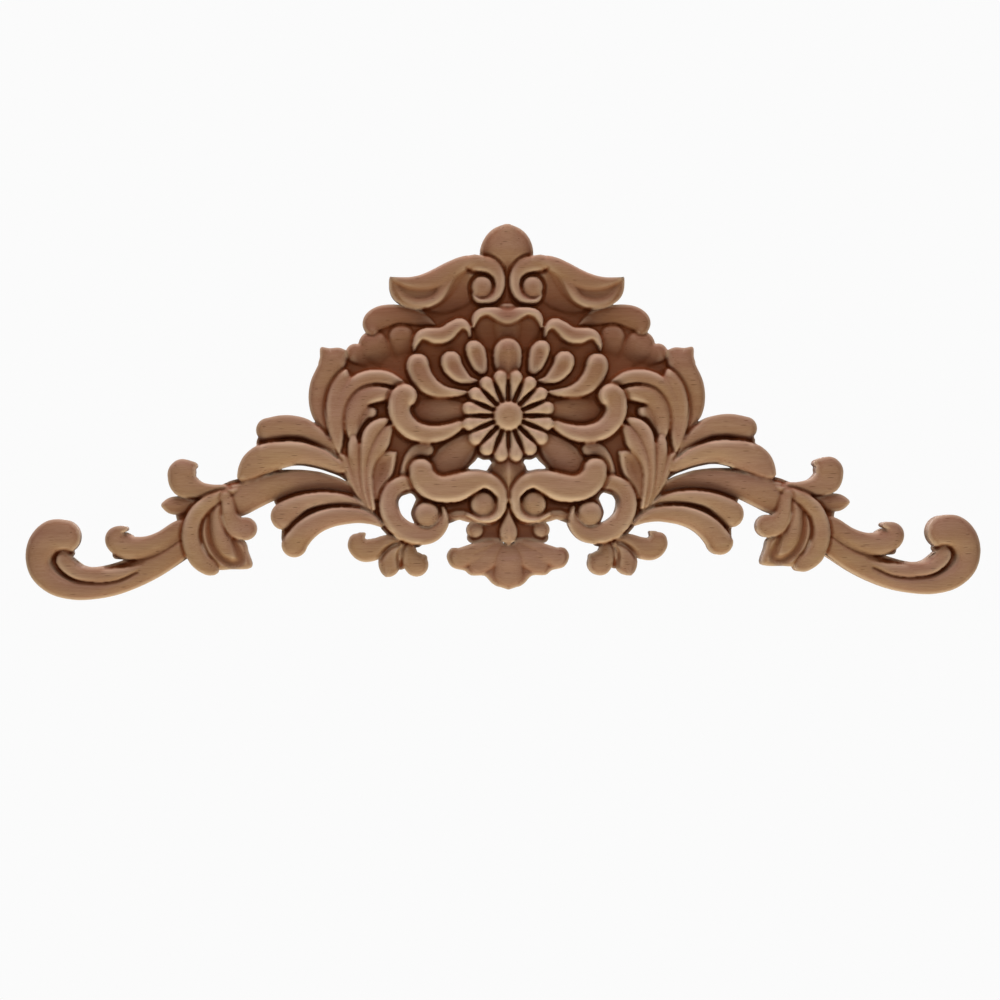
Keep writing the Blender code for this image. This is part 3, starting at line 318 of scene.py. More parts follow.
# The drop at the top, the winged blade beside it and the small scroll between them
FORMS += [
    stroke([(0, 71, 0.5), (0, 76, 2.5), (0, 80, 5.5), (0, 84, 12.8), (0, 86.3, 13.6), (0, 89.5, 10.6),
            (0, 92.5, 7.4), (0, 95.5, 5)], 6.5, 14.5, 14, moat=1.5, drop=7, full=2),
    panel([(15.5, 76), (19, 78.5), (25, 79), (31, 76), (34, 70), (37, 62), (41, 56), (33, 54), (24, 57),
           (19, 60.6), (20.4, 66), (19.6, 71)], 10, 0.5, 1, tilt=(0.08, 0.24)),
    stroke([(20, 80.6, 3.4), (25, 78.4, 4.2), (30, 74.4, 6.2), (35, 69.8, 8), (40, 66.4, 8.9),
            (45, 64.8, 8.6), (50, 64.5, 7.7), (54.3, 65.3, 6.2), (56.9, 67, 4.6), (59.2, 69.6, 2.5),
            (61, 72.3, 0.6)], 11.5, 10.5, 12, drop=3.5, moat=1.2, moat_width=1.5),
    stroke([(24, 78.5, 3.4), (28.5, 75.5, 3.6), (31.5, 71, 3.4), (33.8, 66, 3), (37, 61.6, 2.7),
            (42, 59.2, 2.6), (48, 59, 2.5), (53.4, 61.2, 2.4), (57, 65.5, 2), (59.5, 69.8, 1.2)], 14.5, 11.5,
           14, rise=0.9, moat=0),
    stroke([(14, 81.4, 2.6), (20, 80.6, 3.4), (26, 78.2, 4.2), (32, 74.6, 4.6), (38, 71.4, 4.6),
            (44, 69.9, 4), (50, 69.6, 3), (55, 70.4, 2), (60, 71.8, 0.8)], 14.5, 13.5, 15.5, rise=0.8,
           moat=0),
    stroke([(18, 64, 1), (16, 61.2, 1.6), (11.5, 60.3, 2), (6.5, 62.5, 2.6), (4, 68, 3), (4.8, 74.3, 3.5),
            (9.3, 78.7, 4.4), (17, 80, 4.3)], 12.5, 14, drop=3.5, moat=4.5, moat_width=1.9),
    ball(13.3, 67.7, 5.8, 14, drop=4.5, moat=3, moat_width=1),
]

# The flared cups behind the petals: a hollow belly under a rolled rim
FORMS += [
    panel([(-17, 50), (-12, 54), (12, 54), (18.2, 50.5), (18, 45), (15.5, 39), (10, 33), (-10, 33),
           (-15, 39)], 8.5, 3, 4, tilt=(0, 0.12)),
    stroke([(0, 52, 7.5), (0, 44, 7), (0, 38, 6)], 12.5, 9.5, drop=3.5, moat=0),
    panel([(19, 42), (22, 48), (30, 46), (38, 42), (46, 42), (49, 37), (47, 31), (40, 25), (30, 24),
           (22, 32)], 8, 2, 3, tilt=(0, 0.16)),
    stroke([(19.6, 42, 0.7), (20.6, 46, 1.8), (24.4, 48.3, 3.1), (28.6, 46, 4), (32.6, 42.8, 4.5),
            (37.4, 42, 4.4), (42, 42.9, 3.6), (45.8, 42, 2.6), (48, 38.4, 1.8), (49, 34.6, 0.7)], 13.5, 13,
           15.5, drop=4.5, rise=0.9, lean=-0.8),
    stroke([(-6, 54, 3.2), (-3, 52.4, 3.8), (0, 51.6, 4), (3, 52.4, 3.8), (6.5, 54, 3.2), (10.5, 54.9, 2.4),
            (14.3, 54, 2.4), (16.9, 51.2, 2.1), (18, 46.8, 0.9)], 16, 13.5, drop=4.5, rise=0.9, lean=-0.8),
]

# The keeled bud under the rosette and the spike below it
FORMS += [
    stroke([(0, -23, 5), (0, -25.5, 8.3), (0, -28, 9.3), (0, -31, 8), (0, -35, 4.8), (0, -39, 2.2),
            (0, -44, 1)], 11, 12.5, 14, drop=5, keel=0.34),
    stroke([(0, -48, 0.5), (0, -52, 1.8), (0, -57, 3.6), (0, -61, 4.9), (0, -64, 2.8), (0, -66.8, 0.4)], 12,
           13, 14.5, keel=0.3),
]

# The long petals that fan out above the rosette
PETAL = dict(drop=5, moat=2.5, moat_width=1.3)
FORMS += [
    stroke([(21, 12.5, 0.8), (27, 12.3, 2.2), (34, 13, 3.4), (40, 15.5, 4.9), (44.5, 20, 5.9),
            (46.8, 25, 6.2), (47, 27, 6.1)], 13, 16, lean=0.8, **PETAL),
    stroke([(16, 18.5, 0.8), (20.5, 19, 2.2), (25, 21.5, 4.3), (28.5, 25.5, 5.4), (29.8, 28.7, 5.6)], 13,
           16.5, **PETAL),
    stroke([(13.5, 24.5, 3), (15, 28, 4.6), (16.5, 33, 5.4), (17.8, 35.3, 4.6)], 14, 16.5, **PETAL),
    stroke([(0, 22, 3), (0, 27, 7), (0, 31, 7.8), (0, 33.5, 7.5)], 14, 17, keel=0.15, **PETAL),
]

# Sixteen club-shaped petals round a domed button; the half-petals left of the axis come with them
FORMS += [ball(0, 0, 21, 9, drop=1, moat=0)] + [club(k) for k in range(-4, 5)]
FORMS.append(ball(0, 0, 7.8, 20, drop=5, moat_width=2))

# The tall leaves beside the rosette, one folded over the next, and the curled bulb under them
LEAF = dict(moat=2.5, moat_width=1.8)
FORMS += [
    stroke([(92.5, -13, 0.8), (95.5, -6, 2.3), (98.5, 2, 4), (99, 9, 5), (97.5, 16, 5.8), (94.5, 22, 6.2),
            (90.5, 29, 6.4)], 10, 13, 12, lean=-0.8),
    panel([(84, 34.4), (88, 35.9), (93, 35.6), (97.6, 36), (98, 31), (98.6, 26), (92, 22), (86, 26)], 12, 2,
          3),
    stroke([(88, -19, 1.2), (89.8, -11, 3), (91, -3, 3.9), (91, 5, 4.3), (89, 12, 4.9), (86, 18, 4.6),
            (84.6, 23.4, 1.4)], 12, 12.5, 14, lean=-0.8, sharp=-0.4, **LEAF),
    stroke([(87.5, -16, 1.2), (87.8, -8, 2.6), (87.5, 0, 3.6), (85.6, 8, 4.3), (82, 14.3, 4.4),
            (76.6, 18.6, 4.4), (70, 20.5, 4.1), (63, 20, 3.7), (57, 17.8, 2.4), (53.5, 16.5, 0.8)], 12, 11.5,
           14, lean=-0.8, drop=4.5, moat=0),
    stroke([(80.5, -14, 1.5), (81.5, -8, 3.2), (81.3, -1, 4.1), (79.2, 5, 4.7), (75.3, 9.6, 4.9),
            (70, 11.5, 4.6), (65.5, 11.8, 4), (62.5, 12, 3)], 12, 12.5, 14, drop=5, lean=-0.6, moat=2.8,
           moat_width=1.8),
    groove([(62, 6.5, 3), (65.5, 4.6, 4.2), (68.5, 1.5, 2.5)], 4),
    stroke([(79.5, -9, 1.2), (78.6, -4.5, 2.6), (76.3, -0.2, 3.1), (73.4, 2, 3.2), (71.3, 2, 3.1)], 10.5, 12,
           drop=3.5, moat=2.5),
]

# The hooked scroll beside the rosette, the dome inside it and the leaves under it
FORMS += [
    stroke([(26, 3, 5), (36, 3, 7), (44, 3, 6)], 11, 9, drop=3, moat=0),
    stroke([(25, -4.5, 2.4), (30, -7.2, 3.6), (36, -9, 4.4), (43, -9.2, 4.9), (50, -7, 5.3), (55, -2, 5.7),
            (57, 4, 6), (55.5, 9.5, 6.4), (53.5, 10.8, 6.2)], 14, 17.5, drop=4.5, moat=2.5, moat_width=2.5),
    stroke([(20, -13, 4.5), (25, -18, 7.5), (30, -22.5, 8.6), (32.5, -25, 8.2)], 12, 11, moat=1.5, drop=3.5),
    stroke([(42, -17.5, 3.5), (47, -17.5, 3.5), (50.5, -20, 3), (53, -24, 2.5), (54.5, -28.5, 2.2),
            (55, -31, 2)], 11.5, 10.5, moat=1.5, drop=3),
]

# The spray of pointed leaves that springs from the foot of the long lobes
FORMS += [
    stroke([(70, -53, 1), (74, -46.5, 1.5), (77.6, -40, 2.1), (80.2, -34, 2.8), (82.7, -28.8, 3.2),
            (85, -24.9, 3.2), (86.6, -22, 2.6), (87.5, -21, 1.6)], 11, 12, 13, drop=3.5, lean=0.4, moat=1.5,
           moat_width=1.2),
    stroke([(71, -50, 1), (75, -43, 1.6), (77, -36, 2.5), (78.2, -30, 3), (79.4, -24, 3.5), (80.5, -19, 3.6),
            (80.8, -15, 3.2), (80.9, -12.2, 2.4), (81.4, -11.4, 1.6)], 11.5, 12.5, 14, moat=1.6,
           moat_width=1.2),
    stroke([(72.5, -47, 1.2), (74.2, -40, 1.8), (75, -33, 2.2), (75.1, -26, 2.6), (74.7, -20, 3),
            (73.6, -14, 3.8), (71.6, -9, 4.4), (68.4, -5.2, 3.8), (64.8, -2.8, 2.3), (63, -2, 1.2)], 12.5,
           11.5, 15, drop=4.5, lean=-0.8, moat_width=1.4),
    panel([(57.9, -18.4), (62, -18), (66.5, -18.6), (69.5, -20.4), (71.4, -24), (72.4, -31), (71, -38),
           (68.6, -44), (66, -38), (61, -32), (59, -26)], 12.5, 3, 2, crown=-5),
    stroke([(70, -48, 1), (71.2, -42, 1.4), (72, -36, 1.6), (72.3, -30, 1.7), (71.6, -25, 2),
            (69.6, -19.8, 2.7), (66.2, -14.6, 4), (64, -10, 3.2), (62, -6.4, 2), (61, -4.8, 0.9)], 13, 11,
           14.5, lean=-0.6, moat=1.8, moat_width=1.1),
]

# The sweeping lobes of the arm's foot; each falls to its lower side and is undercut by the next
LOBE = dict(lean=1.1, sharp=0.55, moat=3.5, moat_width=2)
FORMS += [
    stroke([(90, -20.3, 0.8), (94.5, -14.8, 3), (100, -10, 4.4), (106, -6.5, 5.3), (112, -5.3, 5.8),
            (118, -5.3, 6), (125, -7, 6.3)], 10, 13.5, 13.5, drop=5.5, **LOBE),
    stroke([(88, -26.6, 3.1), (91.5, -24.8, 3.6), (97, -22, 4.6), (104, -19.6, 5.4), (111, -18.7, 6.1),
            (118, -20, 7.4), (125.6, -21.7, 8.2), (130.6, -24.5, 8), (133.5, -27.7, 7.1), (136.2, -30.9, 5)],
           12, 13, 14.5, drop=5, **LOBE),
    stroke([(77, -44, 0.8), (82, -38.5, 2.5), (88, -35.5, 3.4), (95, -34, 4.3), (102, -33.5, 4.9),
            (110, -33.8, 5.7), (118, -35.4, 6.4), (126, -37.7, 7), (134, -40.7, 7.8), (142, -43.6, 8.6),
            (149, -44.6, 7.6)], 7.5, 13, 10.5, lean=1, sharp=0.3, moat=2.5),
    stroke([(74, -48.6, 0.8), (80, -44.9, 2.2), (87, -43.2, 3.1), (95, -42.8, 3.6), (102, -43.6, 4.1),
            (108, -45.4, 4.8), (113.3, -48.5, 6.1), (116.9, -51.2, 6.8), (117.7, -53, 5.8)], 10, 13, 13,
           drop=5, **LOBE),
    stroke([(66.5, -56.6, 1.2), (72, -53.5, 2.7), (79, -51.7, 3.9), (86, -51.6, 4.7), (93, -52.6, 5.2),
            (100, -55.2, 5.6), (106, -59.3, 6.1), (110.2, -64.1, 6.4), (111.7, -66.6, 6.7)], 11, 12.5, 13,
           drop=4.5, **LOBE),
]

# The three drooping lobes beside the pendant
FORMS += [
    plate([(53, -65, 2.5), (57, -66, 2.5)], 7),
    stroke([(52, -65.5, 3), (52.3, -69.5, 3.9), (51.2, -74.3, 5), (48.2, -77.4, 6.3)], 11, 12.5, moat=1.5,
           drop=4.5),
    stroke([(46, -76, 3.6), (44.2, -74, 1.8)], 11.5, 10, drop=2.5, moat=0),
    stroke([(57.5, -65, 1.5), (63, -65.7, 3.8), (69, -69, 5.5), (75, -70, 5.9), (78.4, -67.7, 5.4),
            (79.2, -65.5, 4.4)], 11, 11.5, moat=1.5),
    stroke([(77.5, -63, 2.5), (75.3, -61.3, 0.8)], 10, drop=2, moat=0),
    stroke([(56, -66.5, 1), (59.5, -70, 3.2), (61.9, -74.5, 5.5), (62.3, -78, 5.4), (63.5, -81.5, 2.3),
            (64.2, -83.2, 0.6)], 11.5, 12),
    groove([(53, -66, 0.7), (56, -69.2, 1.3), (57.5, -73, 1.4), (57.2, -79, 0.9)], 3),
    groove([(57, -66.6, 0.7), (62, -68.5, 1.2), (65, -71.4, 1.3), (67.2, -75, 0.9)], 3),
]

# The shell that hangs under the spike, its top heart-shaped and its lobes radiating from there
CREASE = dict(drop=3, rise=0.45, moat=1.3, moat_width=1)
FORMS += [
    panel([(-3, -66.8), (0, -66.9), (3, -66.4), (6, -64.7), (9.5, -63.9), (14, -65.2), (18, -66.6),
           (24, -69), (29.5, -69.1), (32, -73.5), (29.3, -79), (22.9, -80.8), (19.4, -83.3), (12.4, -83.6),
           (8.2, -87.7), (4.3, -89.5), (-4.3, -89.5)], 10.5, 3, 2.5),
    stroke([(6, -68.6, 4), (14, -70.2, 4.6), (21, -72.6, 4.9), (25.5, -74.2, 5)], 11, 12.5, 12.5,
           **CREASE),
    stroke([(4, -70.5, 4), (9, -74, 4.8), (15.8, -77.3, 5.2)], 11.5, 12, 12.5, **CREASE),
    stroke([(0, -71.5, 4.5), (0, -76, 6.6), (0, -81.5, 7.8)], 12, 12.5, 13.5, **CREASE),
]

# The S-scroll with its eye, the large hook below it, and the balls between them
FORMS += [
    stroke([(17, -54, 2.4), (21, -52.6, 2.7), (26, -51.6, 2.6), (32, -53.5, 2.7)], 11.5, drop=3, moat=0),
    ball(17.3, -59.5, 4.4, 12, drop=4.5, moat=1),
    stroke([(51, -35, 3.4), (56, -35.3, 4.2), (60.5, -38.5, 4.6), (62.8, -44, 4.9), (62, -50, 5.2),
            (58.5, -56, 5.4), (53, -60, 5.5), (46, -62.2, 5), (39.4, -61.1, 4.2), (34.7, -56, 3.3),
            (33.6, -51, 1.8), (34.3, -48, 1)], 12, 14, 15, drop=4.5, lean=1, sharp=0.2, full=2.6),
    ball(42.7, -51.3, 6.8, 16, drop=6, full=2, moat=3, moat_width=1.1),
    stroke([(21.5, -51.4, 0.8), (19, -52.6, 1.2), (15.5, -54, 1.4), (11, -54.2, 1.7), (6.5, -52.3, 2.3),
            (3.8, -48, 2.8), (3.5, -42.5, 2.9), (4.9, -38.8, 3.6), (9, -34.8, 4.2), (14, -33.3, 4.9),
            (20, -34.7, 6.4), (27, -37.3, 7.4), (34, -38.2, 7.1), (39.5, -37, 7.2), (43.3, -34, 7),
            (45.3, -30.5, 6.6), (45.7, -28.3, 6.5)], 14, 15.5, 17, drop=5.5, full=2.8, moat=3, moat_width=2),
    ball(13.3, -46.3, 6.8, 15.5, drop=6, moat=2.5, moat_width=0.9),
]

# The scrolled end: bud, small scrolls, long arm with its hooked head, and the leafy knuckle
FORMS += [
    stroke([(164, -44.5, 1.4), (169, -45.7, 4.2), (174, -46, 4.7), (178, -45.8, 2.4), (180, -45.8, 0.6)],
           9.5, 10.5, moat=1.5, keel=0.1),
    stroke([(148, -38.7, 3.5), (155, -38.7, 3.7), (162, -37.7, 4.6), (168.4, -34.9, 7), (170.2, -30.2, 7),
            (169.5, -28.6, 6.8)], 12, 13, full=2.6, moat=2.2),
    stroke([(168, -26, 4), (164, -25.3, 2), (162.6, -25.6, 0.8)], 12, 10, drop=2, moat=0),
    stroke([(165, -63.5, 7), (175, -70.6, 6.7), (185, -77.1, 6.7), (195, -82.3, 6.5), (205, -86, 6.4),
            (215, -88.6, 5.7), (225, -89.5, 5.1), (235, -86.7, 5.5), (242, -80.5, 5.9), (243.9, -73, 6.5),
            (241.4, -66, 7.8), (236.3, -61.6, 8.5), (231.1, -61.9, 8.7)], 11.5, 13.5, 12, drop=4.5,
           full=2.4),
    stroke([(188, -76.5, 0.8), (196, -79.3, 2), (203, -81.2, 3.2), (210, -81.9, 3.8), (218, -81.7, 3.8),
            (224.4, -80.4, 3.8), (229.2, -76.5, 4.3), (230.9, -73.9, 4.5)], 10.5, 12, 12.5, lean=-0.5,
           moat=4, moat_width=1.8),
    stroke([(165, -55.5, 4), (172, -58.7, 4.8), (180, -64, 5), (188, -67.4, 5.6), (196, -68.2, 6.2),
            (202, -66, 6), (204.2, -62.6, 5.2), (202.5, -58.8, 2.4), (199, -58, 1.2)], 10.5, 12.5, 12.5,
           drop=4.5, moat=2.5, moat_width=1.4),
    panel([(150, -46), (147, -56), (141, -62), (137, -65.5), (135.8, -70), (134, -78.4), (145, -79.3),
           (150.5, -79.6), (155, -78), (158.5, -70), (161, -60), (158, -50), (153, -44)], 12, 3, 4,
          crown=0.5),
    groove([(143.5, -64, 1.5), (140.9, -69.5, 2.6), (139.9, -74.6, 3), (144, -76, 2.8), (150, -73, 2.6),
            (154.4, -66.5, 2.2), (156.2, -59, 1.8), (156, -51, 1.2)], 2.6),
    stroke([(151, -46, 2), (151.3, -54, 3), (150, -62, 3.4), (147, -69.5, 2.6)], 13, 12.5, 14, drop=2.5,
           moat=0),
    stroke([(141, -37.6, 0.8), (150, -41, 2.6), (158.2, -45.8, 4), (163.4, -52, 4.3), (165.5, -60, 4.7),
            (164.6, -67, 4.9), (161.2, -73.8, 4.9), (156.6, -77.8, 4.3), (154, -79.3, 3)], 12.5, 12.5, 14.5,
           lean=0.5, moat=3.5),
    stroke([(147, -42, 3), (146, -46, 3.3), (145, -52, 4.2), (141.6, -57.3, 5.4), (137.2, -58.3, 6)], 13, 13,
           14.5, drop=4.5, lean=0.8, sharp=0.3, moat=2.5),
]

# Openings cut right through
PIERCINGS = (
    [(83.6, -34.2), (88, -31.1), (93, -29.1), (98, -27.4), (103, -26.2), (108, -25.4), (113, -25.6),
     (118.6, -27.3), (113, -27.4), (108, -27.5), (103, -28), (98, -28.8), (93, -30.4), (88, -32.1)],
    [(8, -24.3), (9.4, -22.7), (12.5, -22.7), (15.3, -21.5), (17, -23.4), (20.6, -27.2), (15.5, -27.6),
     (11, -28.4), (9.5, -26.3)],
    [(48, -43.4), (49, -41.4), (50.8, -40.2), (53.5, -40.9), (55.8, -41.9), (57.3, -45), (56.6, -49.6),
     (55, -52.3), (52, -54.8), (49, -55.9), (50, -53.5), (50.7, -50.5), (49.8, -47.4)],
)


# Raster of heights


class Relief:
    """Heights of the front above the flat back, and the distance to the outline, below 0 on the wood."""

    def __init__(self, step):
        self.step = step
        self.xs = np.arange(-2.5 * step, HALF_REACH, step)
        self.zs = np.arange(BOTTOM, TOP, step)
        self.x, self.z = np.meshgrid(self.xs, self.zs)
        self.height = np.zeros(self.x.shape)
        self.outside = np.full(self.x.shape, FAR_OUTSIDE)
        for form in FORMS:
            self.lay(form)
        for hole in PIERCINGS:
            box, depth = self.depth_within(hole)
            self.outside[box] = np.maximum(self.outside[box], depth)
        wood = (self.outside < 0).astype(float)
        self.height = np.maximum(self.height, LEAST_HEIGHT) * wood
        for _ in range(TOOL_ROUNDING):
            self.height, wood = rounded(self.height), rounded(wood)
        self.height /= np.maximum(wood, 1e-9)

    def lay(self, form):
        if "outline" in form:
            self.lay_panel(form)
        else:
            self.lay_stroke(form)

    def window(self, x, z, reach=0.0):
        """The part of the raster within reach of some points, with a margin."""
        reach += WINDOW_MARGIN
        i0, i1 = np.searchsorted(self.xs, [x.min() - reach, x.max() + reach])
        j0, j1 = np.searchsorted(self.zs, [z.min() - reach, z.max() + reach])
        return np.s_[j0:j1, i0:i1]

    def depth_within(self, outline):
        """The raster round a closed outline, and the distance to it there, above 0 inside."""
        ring = smooth_curve(list(outline) + [outline[0]], OUTLINE_STEPS)
        box = self.window(ring[:, 0], ring[:, 1])
        x, z = self.x[box], self.z[box]
        nearest = np.full(x.shape, 1e9)
        for (ax, az), (bx, bz) in zip(ring, ring[1:]):
            dx, dz = bx - ax, bz - az
            t = np.clip(((x - ax) * dx + (z - az) * dz) / max(dx * dx + dz * dz, 1e-9), 0, 1)
            nearest = np.minimum(nearest, np.hypot(x - ax - t * dx, z - az - t * dz))
        return box, np.where(covered(x, z, [ring]), nearest, -nearest)

    def lay_panel(self, form):
        box, depth = self.depth_within(form["outline"])
        q = np.clip(1 - depth / form["reach"], 0, 1)
        top = form["level"] - form["drop"] * (1 - np.sqrt(1 - q * q))
        top += form["crown"] * np.clip(depth, 0, CROWN_REACH) / CROWN_REACH
        middle = np.mean(form["outline"], axis=0)
        top += form["tilt"][0] * (self.x[box] - middle[0]) + form["tilt"][1] * (self.z[box] - middle[1])
        height = self.height[box]
        self.height[box] = np.where(depth > 0, np.maximum(height, top), height)
        self.outside[box] = np.minimum(self.outside[box], -depth)

    def lay_stroke(self, form):
        rows = smooth_curve(form["rows"])
        box = self.window(rows[:, 0], rows[:, 1], rows[:, 2].max())
        x, z, height = self.x[box], self.z[box], self.height[box]
        across = np.full(x.shape, 1e6)
        side, width, crest = np.zeros(x.shape), np.ones(x.shape), np.zeros(x.shape)
        for a, b in zip(rows, rows[1:]):
            dx, dz = b[0] - a[0], b[1] - a[1]
            length = max(math.hypot(dx, dz), 1e-6)
            t = np.clip(((x - a[0]) * dx + (z - a[1]) * dz) / length**2, 0, 1)
            here = np.maximum(a[2] + t * (b[2] - a[2]), LEAST_HALF_WIDTH)
            ex, ez = x - a[0] - t * dx, z - a[1] - t * dz
            ratio = np.hypot(ex, ez) / here
            nearer = ratio < across
            across = np.where(nearer, ratio, across)
            side = np.where(nearer, (dx * ez - dz * ex) / length / here, side)
            width = np.where(nearer, here, width)
            crest = np.where(nearer, a[3] + t * (b[3] - a[3]), crest)
        inside = across < 1
        q = np.clip(across, 0, 1)
        if form["cut"]:
            dug = height - crest * (1 - q * q) ** GROOVE_POWER
            dug = np.maximum(dug, np.minimum(height, GROOVE_FLOOR))
            self.height[box] = np.where(inside, dug, height)
            return
        full = form["full"]
        fall = np.minimum(form["rise"] * width, form["drop"]) * (1 - form["sharp"] * np.clip(side, -1, 1))
        swell = 1 - q * q
        top = crest - fall * (1 - (1 - q**full) ** (1 / full)) + form["lean"] * side * np.sqrt(swell)
        ridge = np.clip(1 - np.abs(side) * KEEL_NARROWING, 0, 1) ** KEEL_POWER
        top += form["keel"] * width * ridge * np.sqrt(swell)
        gap = (across - 1) * width
        if form["moat"] > 0:
            fade = np.clip(width / (MOAT_FADE * rows[:, 2].max()), 0, 1)
            slope = (1 - np.clip(gap / form["moat_width"], 0, 1)) ** MOAT_POWER
            dug = height - form["moat"] * fade * slope
            dug = np.maximum(dug, np.minimum(height, GROOVE_FLOOR))
            beside = ~inside & (gap < form["moat_width"]) & (height < crest + MOAT_STEP)
            height = np.where(beside, dug, height)
        self.height[box] = np.where(inside, np.maximum(height, top), height)
        self.outside[box] = np.minimum(self.outside[box], gap)

    def in_steps(self, x, z, short):
        """Where points lie on the raster, in steps, held short of its far edges."""
        return [np.clip((at - lines[0]) / self.step, 0, len(lines) - short)
                for at, lines in ((x, self.xs), (z, self.zs))]

    def sample(self, x, z, grid=None):
        """Height at points between the raster's own, or another grid's value there."""
        grid = self.height if grid is None else grid
        gx, gz = self.in_steps(x, z, 1.001)
        i, j = gx.astype(int), gz.astype(int)
        u, v = gx - i, gz - j
        low = grid[j, i] * (1 - u) + grid[j, i + 1] * u
        high = grid[j + 1, i] * (1 - u) + grid[j + 1, i + 1] * u
        return low * (1 - v) + high * v

    def distance_out(self, points):
        """Distance from points to the outline, less than 0 on the wood."""
        i, j = np.rint(self.in_steps(*points.T, 1)).astype(int)
        return self.outside[j, i]


def rounded(grid):
    """One pass of a small binomial blur, which rounds every crease as a ball-nosed cutter leaves it."""
    p = np.pad(grid, 1, mode="edge")
    p = (p[:-2] + 2 * p[1:-1] + p[2:]) / 4
    return (p[:, :-2] + 2 * p[:, 1:-1] + p[:, 2:]) / 4


# Outline of the right half


def contour_rings(relief):
    """Closed rings where the wood ends, the wood on one side and the axis as one straight edge."""
    field = np.maximum(relief.outside, -relief.x)
    wood = field < 0
    corners = wood[:-1, :-1].astype(int) + 2 * wood[:-1, 1:] + 4 * wood[1:, 1:] + 8 * wood[1:, :-1]
    links = {}
    edges_of_case = {1: (3, 0), 2: (0, 1), 3: (3, 1), 4: (1, 2), 6: (0, 2), 7: (3, 2), 8: (2, 3), 9: (2, 0),
                     11: (2, 1), 12: (1, 3), 13: (1, 0), 14: (0, 3)}
    crossed = {5: ((3, 2), (1, 0)), 10: ((0, 3), (2, 1))}
    for j, i in np.argwhere((corners > 0) & (corners < 15)):
        edges = ((j, i, 0), (j, i + 1, 1), (j + 1, i, 0), (j, i, 1))
        case = corners[j, i]
        for start, end in crossed.get(case) or (edges_of_case[case],):
            links[edges[start]] = edges[end]
    rings = []
    while links:
        first = next(iter(links))
        ring, edge = [], first
        while edge in links:
            ring.append(crossing(relief, field, edge))
            edge = links.pop(edge)
        rings.append(np.array(ring))
    return rings


def crossing(relief, field, edge):
    """Point on one raster edge where the field passes through 0."""
    j, i, upright = edge
    a = field[j, i]
    b = field[j + 1, i] if upright else field[j, i + 1]
    t = min(max(a / (a - b), CROSSING_MARGIN), 1 - CROSSING_MARGIN)
    x = relief.xs[i] + (0 if upright else t * relief.step)
    z = relief.zs[j] + (t * relief.step if upright else 0)
    return (0.0 if x < AXIS_SNAP * relief.step else x, z)


def thinned(points, tolerance):
    """Keep only the points that a line needs to stay within the tolerance."""
    if len(points) < 3:
        return list(range(len(points)))
    a, b = points[0], points[-1]
    chord = b - a
    length = max(math.hypot(*chord), 1e-9)
    off = np.abs(chord[0] * (points[1:-1, 1] - a[1]) - chord[1] * (points[1:-1, 0] - a[0])) / length
    worst = int(off.argmax())
    if off[worst] < tolerance:
        return [0, len(points) - 1]
    worst += 1
    left = thinned(points[:worst + 1], tolerance)
    right = thinned(points[worst:], tolerance)
    return left + [worst + k for k in right[1:]]


def thinned_ring(ring, tolerance):
    far = int(np.hypot(*(ring - ring[0]).T).argmax())
    first = ring[:far + 1]
    second = np.vstack([ring[far:], ring[:1]])
    kept = list(first[thinned(first, tolerance)]) + list(second[thinned(second, tolerance)][1:-1])
    kept = [p for k, p in enumerate(kept) if math.dist(p, kept[k - 1]) > LEAST_EDGE * RASTER]
    return np.array(kept)


def with_axis_points(ring, relief):
    """Split a ring's straight edge on the axis where the profile of the front bends."""
    points = []
    for a, b in zip(ring, np.roll(ring, -1, axis=0)):
        points.append(a)
        if a[0] == 0 and b[0] == 0:
            count = max(int(abs(b[1] - a[1]) / relief.step), 2)
            z = np.linspace(a[1], b[1], count)
            profile = np.column_stack([z, relief.sample(np.zeros(count), z)])
            points += [(0.0, z[k]) for k in thinned(profile, AXIS_TOLERANCE)[1:-1]]
    return np.array(points)


# Triangles of the right half


def triangulate(points, rings):
    """Constrained triangles over the points, only where there is wood."""
    edges, start = [], 0
    for ring in rings:
        edges += [(start + k, start + (k + 1) % len(ring)) for k in range(len(ring))]
        start += len(ring)
    flat = [Vector((x, z)) for x, z in points]
    verts, _, faces, *_ = delaunay_2d_cdt(flat, edges, [], 0, 1e-6)
    corners = np.array([tuple(v) for v in verts])
    triangles = np.array([tuple(f) for f in faces])
    return corners, triangles[covered(*corners[triangles].mean(axis=1).T, rings)]


def covered(x, z, rings):
    """True for points inside the rings by the odd-even rule."""
    inside = np.zeros(x.shape, bool)
    for ring in rings:
        for (ax, az), (bx, bz) in zip(ring, np.roll(ring, -1, axis=0)):
            if az != bz:
                inside ^= ((az > z) != (bz > z)) & (x < (bx - ax) * (z - az) / (bz - az) + ax)
    return inside


def misses(corners, triangles, relief):
    """Sample points over each triangle, how far its plane misses the relief there, and twice its area."""
    heights = relief.sample(corners[:, 0], corners[:, 1])
    xz = corners[triangles]
    at = np.einsum("mk,nkd->nmd", SAMPLES, xz)
    flat = heights[triangles] @ SAMPLES.T
    error = np.abs(relief.sample(at[:, :, 0], at[:, :, 1]) - flat)
    (ax, az), (bx, bz), (cx, cz) = (xz[:, k].T for k in range(3))
    return at, error, (bx - ax) * (cz - az) - (cx - ax) * (bz - az)


def misfit(corners, triangles, relief):
    """Cost of each triangle; one that is a sliver costs too much to be made."""
    error, area = misses(corners, triangles, relief)[1:]
    sides = corners[triangles] - corners[np.roll(triangles, 1, axis=1)]
    longest = np.hypot(sides[:, :, 0], sides[:, :, 1]).max(axis=1)
    return np.where(area < SLIVER * longest, SLIVER_COST, (area / 2 + 1.0) * (error**2).mean(axis=1))


